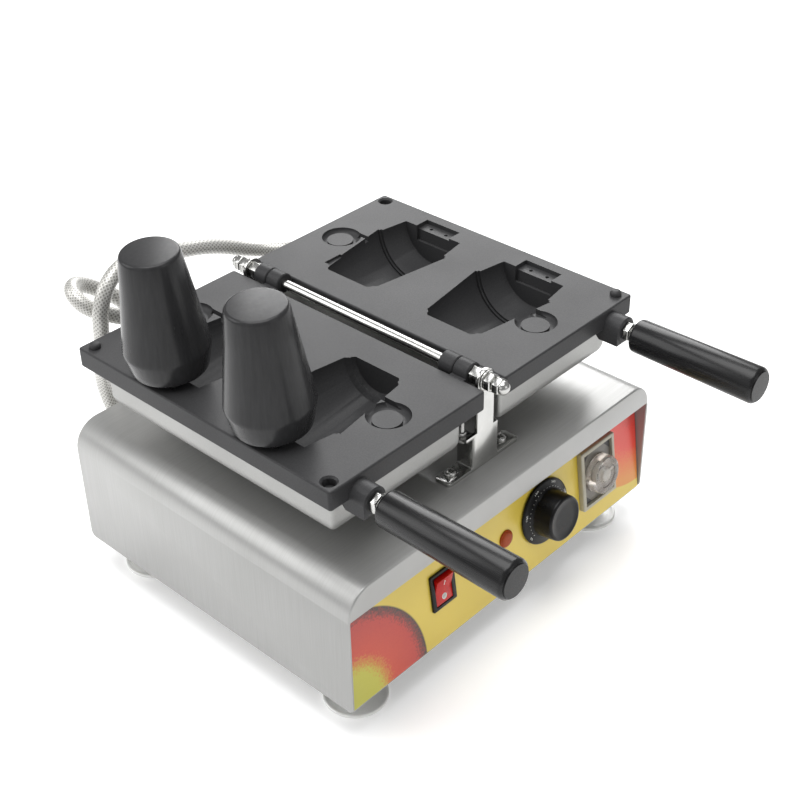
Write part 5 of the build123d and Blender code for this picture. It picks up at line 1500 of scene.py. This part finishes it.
    def _handle(self) -> None:
        """The threaded rod, its lock nut, the turned grip and the cap in its end."""
        word, body = self.side.word, self.side.body
        front = -self.plate_length / 2 - self.boss_length
        nut_height, gap, grip_length = 6.0, 3.4, 108.0
        place = facing_y(self.spot(self.handle_reach, front, -self.handle_drop))
        rod = self._threaded_rod(4.0, 30.0)
        settle(rod, place)
        self.dress(soften(rod, 0, 1, 30), "polished", body, (f"{word}_handle_rod",))
        nut_profile = ((7.1, 0), (8, 0.8), (8, nut_height - 0.8), (7.1, nut_height))
        nut = turned_piece("lock_nut", nut_profile, HEX_SIDES)
        settle(nut, place)
        nut.name = f"{word}_lock_nut"
        self.dress(soften(nut, 0.25, 3, 30), "polished", body, (f"{word}_handle_nut",))
        start = nut_height + gap
        end = start + grip_length
        grip_profile = (
            (9.6, start), (11.6, start + 0.5), (12.9, start + 1.6), (13.4, start + 3.0),
            (13.9, start + 54), (14.4, end - 3.2), (14.1, end - 1.6), (13.2, end - 0.5),
            (12.7, end), (12.5, end), (12.5, end - 2.4),
        )
        grip = turned_piece(f"{word}_grip", grip_profile)
        settle(grip, place)
        self.dress(soften(grip, 0, 1, 38), "grip", body, (f"{word}_handle_grip",))
        cap_profile = ((12.35, end - 2.4), (12.35, end + 0.3), (11.9, end + 0.75), (6.0, end + 0.8))
        cap = turned_piece(f"{word}_cap", cap_profile)
        settle(cap, place)
        self.dress(soften(cap, 0, 1, 38), "black", body, (f"{word}_grip_cap",))

    def _threaded_rod(self, radius: float, length: float) -> bpy.types.Object:
        """A rod whose thread shows as shallow ridges.

        Args:
            radius: The rod's radius in millimetres.
            length: Its length in millimetres.

        Returns:
            The rod along its own Z axis.
        """
        profile = [(radius, -22)]
        height = 0.0
        while height < length:
            profile += [(radius, height), (radius - 0.45, height + 0.6)]
            height += 1.2
        profile.append((radius - 0.45, length))
        return turned_piece(f"{self.side.word}_rod", profile, SMALL_SIDES)

    def _gland(self) -> None:
        """The gland that takes the hose into the cover's back."""
        word = self.side.word
        low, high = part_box(f"{word}_iron_gland")
        centre = (low + high) / 2
        flange = turned_piece("gland_nut", GLAND_NUT, HEX_SIDES)
        sleeve = ((7.5, 4), (7.5, 16.5), (7.3, 17.6), (6.8, 18.3))
        ferrule = turned_piece("gland_ferrule", sleeve, SMALL_SIDES)
        gland = joined([flange, ferrule], f"{word}_gland")
        wall = high.y - 18.5 * MM
        settle(gland, facing_y(Vector((centre.x, wall, centre.z)), 1))
        self.dress(soften(gland, 0.15, 2, 30), "brass", self.side.body, (f"{word}_iron_gland",))


@dataclass
class CupCore(SubAssembly):
    """One turned core with its hinge lug, standing beside its mould."""

    end: End = End.FRONT
    length: float = 97.0
    tip_radius: float = 21.6
    wide_radius: float = 32.4
    wide_at: float = 19.0
    base_radius: float = 28.4
    lean: float = 4.0
    pivot_reach: float = 143.5
    pivot_rise: float = 1.0
    base_reach: float = 139.0
    parting: float = 0.15
    cup_y: float = 54.0
    lug_half_width: float = 6.0
    lug_radius: float = 2.4

    def build(self) -> None:
        """Makes the core, turned lying in its mould and then swung up on its pin."""
        centre = self.end.value * self.cup_y
        half, thick = self.lug_half_width, self.lug_radius
        word = self.end.word
        core = turned_piece(f"{word}_cup_core", self._profile())
        lying = Matrix.Translation(self.layout.on_iron(Side.LEFT, self.base_reach, centre, -self.parting))
        settle(core, lying @ Matrix.Rotation(math.pi / 2, 4, "Y"))
        lug = box_piece(
            "lug",
            self.layout.on_iron(Side.LEFT, self.pivot_reach, centre - half, self.pivot_rise - thick),
            self.layout.on_iron(Side.LEFT, self.base_reach - 1, centre + half, self.pivot_rise + thick),
        )
        barrel = turned_piece("barrel", ((2.0, -6), (2.4, -5.6), (2.4, 5.6), (2.0, 6)), SMALL_SIDES)
        pivot = self.layout.on_iron(Side.LEFT, self.pivot_reach, centre, self.pivot_rise)
        settle(barrel, facing_y(pivot))
        core = joined([core, lug, barrel], core.name)
        swing = Matrix.Rotation(math.radians(-90 - self.lean), 4, "Y")
        settle(core, Matrix.Translation(pivot) @ swing @ Matrix.Translation(-pivot))
        soften(core, 0, 1, 40)
        self.dress(core, "core", f"{word}_core_body", (f"{word}_core",))

    def _profile(self) -> list[tuple[float, float]]:
        """The core's outline from its base: rounded foot, widest ring, slow taper, rounded tip.

        Returns:
            Radius and distance from the base of each stage.
        """
        foot = 2.2
        tip = 2.6
        outline = [
            (self.base_radius - foot * (1 - math.sin(a)), foot * (1 - math.cos(a)))
            for a in [math.radians(15 * step) for step in range(0, 6)]
        ]
        outline += [(self.base_radius + 0.35, foot + 0.4)]
        rise = self.wide_radius - self.base_radius
        for share in (0.35, 0.65, 0.85, 0.95):
            outline.append((self.base_radius + rise * share, self.wide_at * share + 0.4))
        outline.append((self.wide_radius, self.wide_at + 1.2))
        taper = (self.wide_radius - self.tip_radius) / (self.length - self.wide_at)
        for distance in (self.wide_at + 3, self.wide_at + 30, self.wide_at + 55, self.length - tip):
            outline.append((self.wide_radius - taper * (distance - self.wide_at), distance))
        outline += [
            (self.tip_radius - tip * (1 - math.cos(a)) + 0.2, self.length - tip + tip * math.sin(a))
            for a in [math.radians(15 * step) for step in range(1, 7)]
        ]
        return outline


@dataclass
class CoreHinges(SubAssembly):
    """The leaves, screws and pins that the cores swing on."""

    def build(self) -> None:
        """Dresses the small hinge parts."""
        self.refined("core_hinge_leaves", "plated", "left_iron", 0.15)
        self.refined("core_leaf_screws", "plated", "left_iron", 0.2)
        self.paint("plated", "core_pins", "left_sensor_bulb")


@dataclass
class SwitchUnit(SubAssembly):
    """The rocker switch, the lamp and the buzzer."""

    height: float = 46.5
    switch: float = -72.5
    buzzer: float = -36.0
    lamp: float = 1.2

    def build(self) -> None:
        """Makes the three small controls."""
        self.refined("switch_housing", "black", "base", 0.35)
        self.refined("switch_rocker", "rocker", "rocker", 0.5)
        self._marks()
        self._lamp()
        self._buzzer()

    def _marks(self) -> None:
        """The line and the ring printed on the rocker's two halves."""
        tilt = Matrix.Rotation(math.radians(8), 4, "X")
        pivot = self.layout.on_panel(self.switch, self.height, self.layout.film - 2.0)
        ring = turned_piece("off_ring", ((2.5, 0), (2.5, 0.12), (1.9, 0.12), (1.9, 0.0)), SMALL_SIDES)
        slope = math.atan2(2.0, 11.6)
        ring_place = Matrix.Translation(Vector((0, -6.6, 4.56)) * MM) @ Matrix.Rotation(-slope, 4, "X")
        settle(ring, pivot @ tilt @ ring_place)
        line = box_piece("on_line", Vector((-0.35, -2.4, 0)) * MM, Vector((0.35, 2.4, 0.12)) * MM)
        line_place = Matrix.Translation(Vector((0, 6.4, 4.52)) * MM) @ Matrix.Rotation(slope, 4, "X")
        settle(line, pivot @ tilt @ line_place)
        self.dress(joined([ring, line], "rocker_marks"), "ink", "rocker")

    def _lamp(self) -> None:
        """The amber lens, domed, in a thin rim."""
        profile = (
            (5.0, -15), (5.0, 0), (7.2, 0), (7.2, 1.0), (6.8, 1.5), (6.3, 1.5), (6.1, 1.9), (5.0, 2.35),
            (3.2, 2.6), (1.2, 2.6),
        )
        lens = turned_piece("amber_lamp_lens", profile, KNUCKLE_SIDES)
        settle(lens, self.layout.on_panel(self.lamp, self.height, self.layout.film))
        self.dress(soften(lens, 0, 1, 50), "lamp", "base", ("pilot_lamp",))

    def _buzzer(self) -> None:
        """The buzzer's slotted round front."""
        profile = ((8.0, -17), (8.0, 0), (10.5, 0), (10.5, 1.5), (10.1, 2.1), (9.4, 2.4))
        front = turned_piece("buzzer_front", profile, KNUCKLE_SIDES)
        for offset in (-4.0, 0.0, 4.0):
            low = Vector((-5.2, offset - 0.7, 1.3)) * MM
            high = Vector((5.2, offset + 0.7, 4)) * MM
            cut(front, box_piece("slot", low, high))
        settle(front, self.layout.on_panel(self.buzzer, self.height, self.layout.film))
        self.dress(soften(front, 0.12, 2, 40), "black", "base", ("buzzer",))


@dataclass
class ThermostatDial(SubAssembly):
    """The temperature knob: a skirt with a scale, and a round grip."""

    u: float = 47.2
    v: float = 46.5
    gap: float = 0.8
    skirt: float = 27.6
    grip: float = 19.2
    rise: float = 22.5
    values: tuple[int, ...] = (50, 100, 150, 200, 250, 300)
    first_angle: float = 215.0
    value_step: float = 50.0
    number_radius: float = 24.2
    number_size: float = 3.6
    dot_radius: float = 21.3
    dots_per_value: int = 5

    def build(self) -> None:
        """Makes the knob and its printed scale."""
        base = self.layout.film + self.gap
        skirt, grip = self.skirt, self.grip
        profile = (
            (3.1, base + 11), (3.1, base), (skirt - 0.6, base), (skirt, base + 0.6), (skirt, base + 1.5),
            (skirt - 0.5, base + 2.3), (skirt - 1.4, base + 2.7), (grip + 1.6, base + 3.6),
            (grip + 0.5, base + 4.3),
            (grip, base + 5.4), (grip - 0.6, self.rise - 1.9), (grip - 0.9, self.rise - 0.8),
            (grip - 1.8, self.rise - 0.1), (grip - 2.6, self.rise), (grip - 3.2, self.rise),
            (grip - 3.6, self.rise - 0.25), (grip - 9, self.rise - 0.45),
        )
        knob = turned_piece("temperature_knob", profile)
        settle(knob, self.layout.on_panel(self.u, self.v))
        self.dress(soften(knob, 0, 1, 40), "black", "thermostat_dial", ("thermostat_knob",))
        self.paint("plated", "thermostat_stem")
        self._scale(base)

    def _scale(self, base: float) -> None:
        """Prints the numbers and the dots of the scale on the skirt.

        Args:
            base: Height of the skirt's underside above the panel.
        """
        place = self.layout.on_panel(self.u, self.v)
        prints = []
        for index, value in enumerate(self.values):
            angle = math.radians(self.first_angle - index * self.value_step)
            radius = self.number_radius
            spot = Vector((math.cos(angle) * radius, math.sin(angle) * radius, base + 3.05)) * MM
            bpy.ops.object.text_add(location=(0, 0, 0))
            label = bpy.context.object
            label.data.body = str(value)
            label.data.size = self.number_size * MM
            label.data.align_x = "CENTER"
            label.data.align_y = "CENTER"
            label.data.extrude = 0.04 * MM
            focus(label)
            bpy.ops.object.convert(target="MESH")
            turn = Matrix.Rotation(angle - math.pi / 2, 4, "Z")
            prints.append(settle(bpy.context.object, place @ Matrix.Translation(spot) @ turn))
        dots = self.dots_per_value * (len(self.values) - 1)
        for index in range(dots + 1):
            angle = math.radians(self.first_angle - index * self.value_step / self.dots_per_value)
            size = 0.42 if index % self.dots_per_value == 0 else 0.28
            dot = turned_piece("dot", ((size, 0), (size, 0.08)), DOT_SIDES)
            radius = self.dot_radius
            spot = Vector((math.cos(angle) * radius, math.sin(angle) * radius, base + 3.48)) * MM
            prints.append(settle(dot, place @ Matrix.Translation(spot)))
        self.dress(joined(prints, "temperature_scale"), "ink", "thermostat_dial")


@dataclass
class TimerUnit(SubAssembly):
    """The timer: its frame, sunk face, scale and clear knob."""

    u: float = 115.0
    v: float = 46.5
    width: float = 44.0
    height: float = 55.0
    border: float = 3.6
    face_rise: float = 2.6
    knob_radius: float = 17.0
    mark_leg: float = 8.5
    tick_count: int = 21
    tick_radius: float = 15.6
    first_tick: float = 220.0
    tick_step: float = 13.0

    def build(self) -> None:
        """Makes the timer's pieces."""
        self.refined("timer_frame", "timer_frame", "base", 0.4)
        self.refined("timer_face", "timer_face", "base", 0.1)
        self._face()
        self._knob()

    def _face(self) -> None:
        """Painted shade in the four corners of the sunk face, and the round scale plate with its ticks."""
        place = self.layout.on_panel(self.u, self.v, self.layout.film + self.face_rise)
        half_width = self.width / 2 - self.border - 1.0
        half_height = self.height / 2 - self.border - 1.0
        leg = self.mark_leg
        # Dark triangles in the face's four corners: painted shade under the frame
        corners = []
        for x in (-1, 1):
            for y in (-1, 1):
                bpy.ops.mesh.primitive_circle_add(vertices=3, radius=5.2 * MM, fill_type="NGON")
                corner = bpy.context.object
                with editing(corner) as mesh:
                    for vert, spot in zip(mesh.verts, ((0, 0), (-leg, 0), (0, -leg))):
                        vert.co = Vector((spot[0] * x, spot[1] * y, 0.06)) * MM
                spot = Vector((x * half_width, y * half_height, 0)) * MM
                settle(corner, place @ Matrix.Translation(spot))
                corners.append(corner)
        piece = joined(corners, "timer_corner_painted_shade")
        with editing(piece):
            bpy.ops.mesh.select_all(action="SELECT")
            lift = place.col[2].to_3d() * 0.05 * MM
            bpy.ops.mesh.extrude_region_move(TRANSFORM_OT_translate={"value": tuple(lift)})
            bpy.ops.mesh.select_all(action="SELECT")
            bpy.ops.mesh.normals_make_consistent(inside=False)
        self.dress(piece, "dark", "base")
        profile = ((16.4, 0), (16.4, 0.25), (16.0, 0.4), (5, 0.4))
        plate = turned_piece("timer_scale_plate", profile, BOSS_SIDES)
        settle(plate, place)
        self.dress(soften(plate, 0, 1, 40), "timer_face", "base")
        ticks = []
        for index in range(self.tick_count):
            angle = math.radians(self.first_tick - index * self.tick_step)
            long = 2.6 if index % 5 == 0 else 1.4
            low = Vector((self.tick_radius - long, -0.16, 0.4)) * MM
            high = Vector((self.tick_radius, 0.16, 0.46)) * MM
            ticks.append(settle(box_piece("tick", low, high), place @ Matrix.Rotation(angle, 4, "Z")))
        self.dress(joined(ticks, "timer_ticks"), "dark", "base")

    def _knob(self) -> None:
        """The clear knob with its ridged hub."""
        base = self.layout.film + self.face_rise + 0.5
        radius = self.knob_radius
        profile = (
            (radius - 0.3, base), (radius, base + 0.3), (radius - 0.3, base + 2.0),
            (radius - 1.2, base + 8.6), (radius - 1.7, base + 9.7), (radius - 2.6, base + 10.0),
            (radius - 6.5, base + 10.0), (radius - 7.2, base + 9.2), (7.6, base + 9.2),
            (7.2, base + 10.0), (2.0, base + 10.0),
        )
        shell = turned_piece("timer_clear_knob", profile)
        settle(shell, self.layout.on_panel(self.u, self.v))
        self.dress(soften(shell, 0, 1, 40), "clear", "timer_dial", ("timer_knob",))
        hub_profile = (
            (3.0, base - 5), (3.0, base + 0.2), (6.0, base + 0.2), (5.4, base + 8.4), (4.6, base + 9.0),
        )
        hub = turned_piece("timer_hub", hub_profile, HUB_SIDES)
        low = Vector((5.0, -0.9, base + 0.5)) * MM
        high = Vector((14.6, 0.9, base + 2.2)) * MM
        pointer = box_piece("pointer", low, high)
        hub = joined([hub, pointer], "timer_hub_pointer")
        settle(hub, self.layout.on_panel(self.u, self.v))
        self.dress(soften(hub, 0.2, 2, 40), "ink", "timer_dial")


@dataclass
class HoseSet(SubAssembly):
    """The two braided hoses and the rear glands."""

    radius: float = 6.5
    right_route: tuple[tuple[float, float, float], ...] = (
        (92, 141.05, 177.5), (92, 160, 177.5), (84.5, 177.5, 175.5), (71, 191, 175.5), (53, 198, 181),
        (31, 199, 192), (6, 196, 203), (-22, 190, 213), (-54, 181, 227), (-84, 173, 236.5), (-104, 167, 237),
        (-119, 162.5, 229), (-127.5, 161, 213), (-128, 162.5, 195), (-122.5, 171.5, 175), (-114, 187, 153),
        (-106, 204, 132), (-99, 215, 108), (-94, 216, 84), (-92, 203, 64), (-92, 182, 56), (-92, 163.5, 56),
    )
    left_route: tuple[tuple[float, float, float], ...] = (
        (-62, 141.05, 177.5), (-62, 158, 177.5), (-77, 169, 182), (-97, 173.5, 189), (-113, 177, 199),
        (-123.5, 180, 206), (-128, 186, 212), (-127.4, 195, 216.4), (-121.7, 203.3, 217.3),
        (-113, 207.8, 214.3), (-97, 209, 203), (-77, 209, 186), (-61, 210, 163), (-49, 216, 138),
        (-41, 222, 112), (-37, 220, 87),
        (-36, 206, 66), (-36, 184, 56), (-36, 163.5, 56),
    )

    def build(self) -> None:
        """Makes the hoses and the glands they end in."""
        self._hose("right", self.right_route, 0.494)
        self._hose("left", self.left_route, 0.351)
        self._glands()

    def _hose(self, word: str, route: Sequence[tuple[float, float, float]], length: float) -> None:
        """One hose as a smooth curve with a round section.

        Args:
            word: right or left, the iron it feeds.
            route: Its points in machine millimetres.
            length: Its real length in metres; not used.
        """
        data = bpy.data.curves.new(f"{word}_braided_hose", "CURVE")
        data.dimensions = "3D"
        spline = data.splines.new("NURBS")
        spline.points.add(len(route) - 1)
        for point, place in zip(spline.points, route):
            point.co = (*self.layout.at(*place), 1.0)
        spline.order_u = 3
        spline.use_endpoint_u = True
        spline.resolution_u = 12
        data.bevel_depth = self.radius * MM
        data.bevel_resolution = 8
        data.use_fill_caps = True
        hose = bpy.data.objects.new(data.name, data)
        bpy.context.scene.collection.objects.link(hose)
        self.dress(hose, f"braid_{word}", "base", (f"{word}_hose",))
        tuple(self.layout.at(*route[-1]))

    def _glands(self) -> None:
        """The two hose outlets and the mains inlet on the rear sheet."""
        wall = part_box("back_panel")[1].y
        outlets = []
        low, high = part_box("hose_outlets")
        height = (low.z + high.z) / 2
        for x in (low.x + 10 * MM, high.x - 10 * MM):
            outlets.append(self._gland(Vector((x, wall, height))))
        self.dress(joined(outlets, "hose_outlet_glands"), "brass", "base", ("hose_outlets",))
        low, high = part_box("mains_inlet")
        inlet = self._gland(Vector(((low.x + high.x) / 2, wall, (low.z + high.z) / 2)))
        inlet.name = "mains_inlet_gland"
        self.dress(inlet, "black", "base", ("mains_inlet",))

    def _gland(self, place: Vector) -> bpy.types.Object:
        """One gland with its hexagon, tapered ferrule and bore.

        Args:
            place: Where its flange meets the wall.

        Returns:
            The gland.
        """
        flange = turned_piece("outlet_nut", GLAND_NUT, HEX_SIDES)
        sleeve = ((6.0, -5), (6.0, 0), (8.6, 4), (7.6, 12.6), (7.2, 13.8), (6.2, 14), (4, 14), (4, 8))
        ferrule = turned_piece("outlet_ferrule", sleeve, SMALL_SIDES)
        gland = joined([flange, ferrule], "outlet_gland")
        settle(gland, facing_y(place, 1))
        return soften(gland, 0.15, 2, 30)


@dataclass
class Studio:
    """The pale floor, the soft lights and the camera."""

    layout: Layout
    camera_place: tuple[float, float, float] = (-672.2, -667.7, 789.5)
    azimuth: float = -46.78
    elevation: float = 34.56
    roll: float = -1.08
    focal_pixels: float = 1449.6

    def build(self) -> None:
        """Makes the studio."""
        self._floor()
        self._lights()
        self._camera()

    def _floor(self) -> None:
        """A wide pale floor that the background melts into."""
        bpy.ops.mesh.primitive_plane_add(size=12, location=(0, 0, -0.0002))
        floor = bpy.context.object
        floor.name = "studio_floor"
        material, _, shader = blank_material("white_studio_paper")
        shader.inputs["Base Color"].default_value = linear("#f8f8f8")
        shader.inputs["Roughness"].default_value = 0.9
        shader.inputs["Emission Color"].default_value = linear("#ffffff")
        shader.inputs["Emission Strength"].default_value = 0.2
        floor.data.materials.append(material)

    def _lights(self) -> None:
        """Large soft lamps: one overhead, two bright ones low behind, weak ones on the left and in front."""
        world = bpy.data.worlds.new("studio_surround")
        bpy.context.scene.world = world
        world.use_nodes = True
        ground = world.node_tree.nodes["Background"]
        ground.inputs["Color"].default_value = linear("#ffffff")
        ground.inputs["Strength"].default_value = 0.36
        bpy.context.scene.view_settings.view_transform = "Standard"
        for name, place, size, power in (
            ("top_softbox", (-0.1, 0.1, 2.3), 1.7, 44.0),
            ("back_softbox", (1.9, 1.5, 1.75), 1.8, 58.0),
            ("back_left_softbox", (-1.8, 1.8, 1.8), 2.0, 38.0),
            ("left_softbox", (-2.1, -0.3, 1.0), 1.4, 4.0),
            ("front_softbox", (0.4, -2.4, 1.2), 1.4, 6.0),
        ):
            lamp = bpy.data.lights.new(name, "AREA")
            lamp.shape = "SQUARE"
            lamp.size = size
            lamp.energy = power
            holder = bpy.data.objects.new(name, lamp)
            bpy.context.scene.collection.objects.link(holder)
            holder.location = place
            aim = Vector((0, 0, 0.12)) - Vector(place)
            holder.rotation_mode = "QUATERNION"
            holder.rotation_quaternion = aim.to_track_quat("-Z", "Y")

    def _camera(self) -> None:
        """The camera at the photograph's place and angle."""
        azimuth, elevation, roll = (math.radians(v) for v in (self.azimuth, self.elevation, self.roll))
        level = math.cos(elevation)
        back = Vector((math.sin(azimuth) * level, -math.cos(azimuth) * level, math.sin(elevation)))
        right = (-back).cross(Vector((0, 0, 1))).normalized()
        up = right.cross(-back)
        turned_right = right * math.cos(roll) + up * math.sin(roll)
        turned_up = up * math.cos(roll) - right * math.sin(roll)
        camera = bpy.data.cameras.new("photo_camera")
        camera.sensor_width = SENSOR
        camera.lens = self.focal_pixels / PHOTO_SIZE * SENSOR
        camera.clip_end = 50
        holder = bpy.data.objects.new("photo_camera", camera)
        bpy.context.scene.collection.objects.link(holder)
        rotation = Matrix((turned_right, turned_up, back)).transposed().to_4x4()
        holder.matrix_world = Matrix.Translation(self.layout.at(*self.camera_place)) @ rotation
        bpy.context.scene.camera = holder


def main() -> None:
    """Builds every sub-assembly in order."""
    layout = Layout.from_frame()
    finishes = FinishBook(layout)
    Studio(layout).build()
    groups: list[SubAssembly] = [
        HoseSet(layout, finishes),
        Casing(layout, finishes),
        HingeStand(layout, finishes),
        MouldIron(layout, finishes, Side.RIGHT),
        MouldIron(layout, finishes, Side.LEFT),
        CupCore(layout, finishes, End.FRONT),
        CupCore(layout, finishes, End.BACK),
        CoreHinges(layout, finishes),
        SwitchUnit(layout, finishes),
        ThermostatDial(layout, finishes),
        TimerUnit(layout, finishes),
    ]
    for group in groups:
        group.build()
        LOG.info("finished %s", type(group).__name__)


if __name__ == "__main__":
    main()
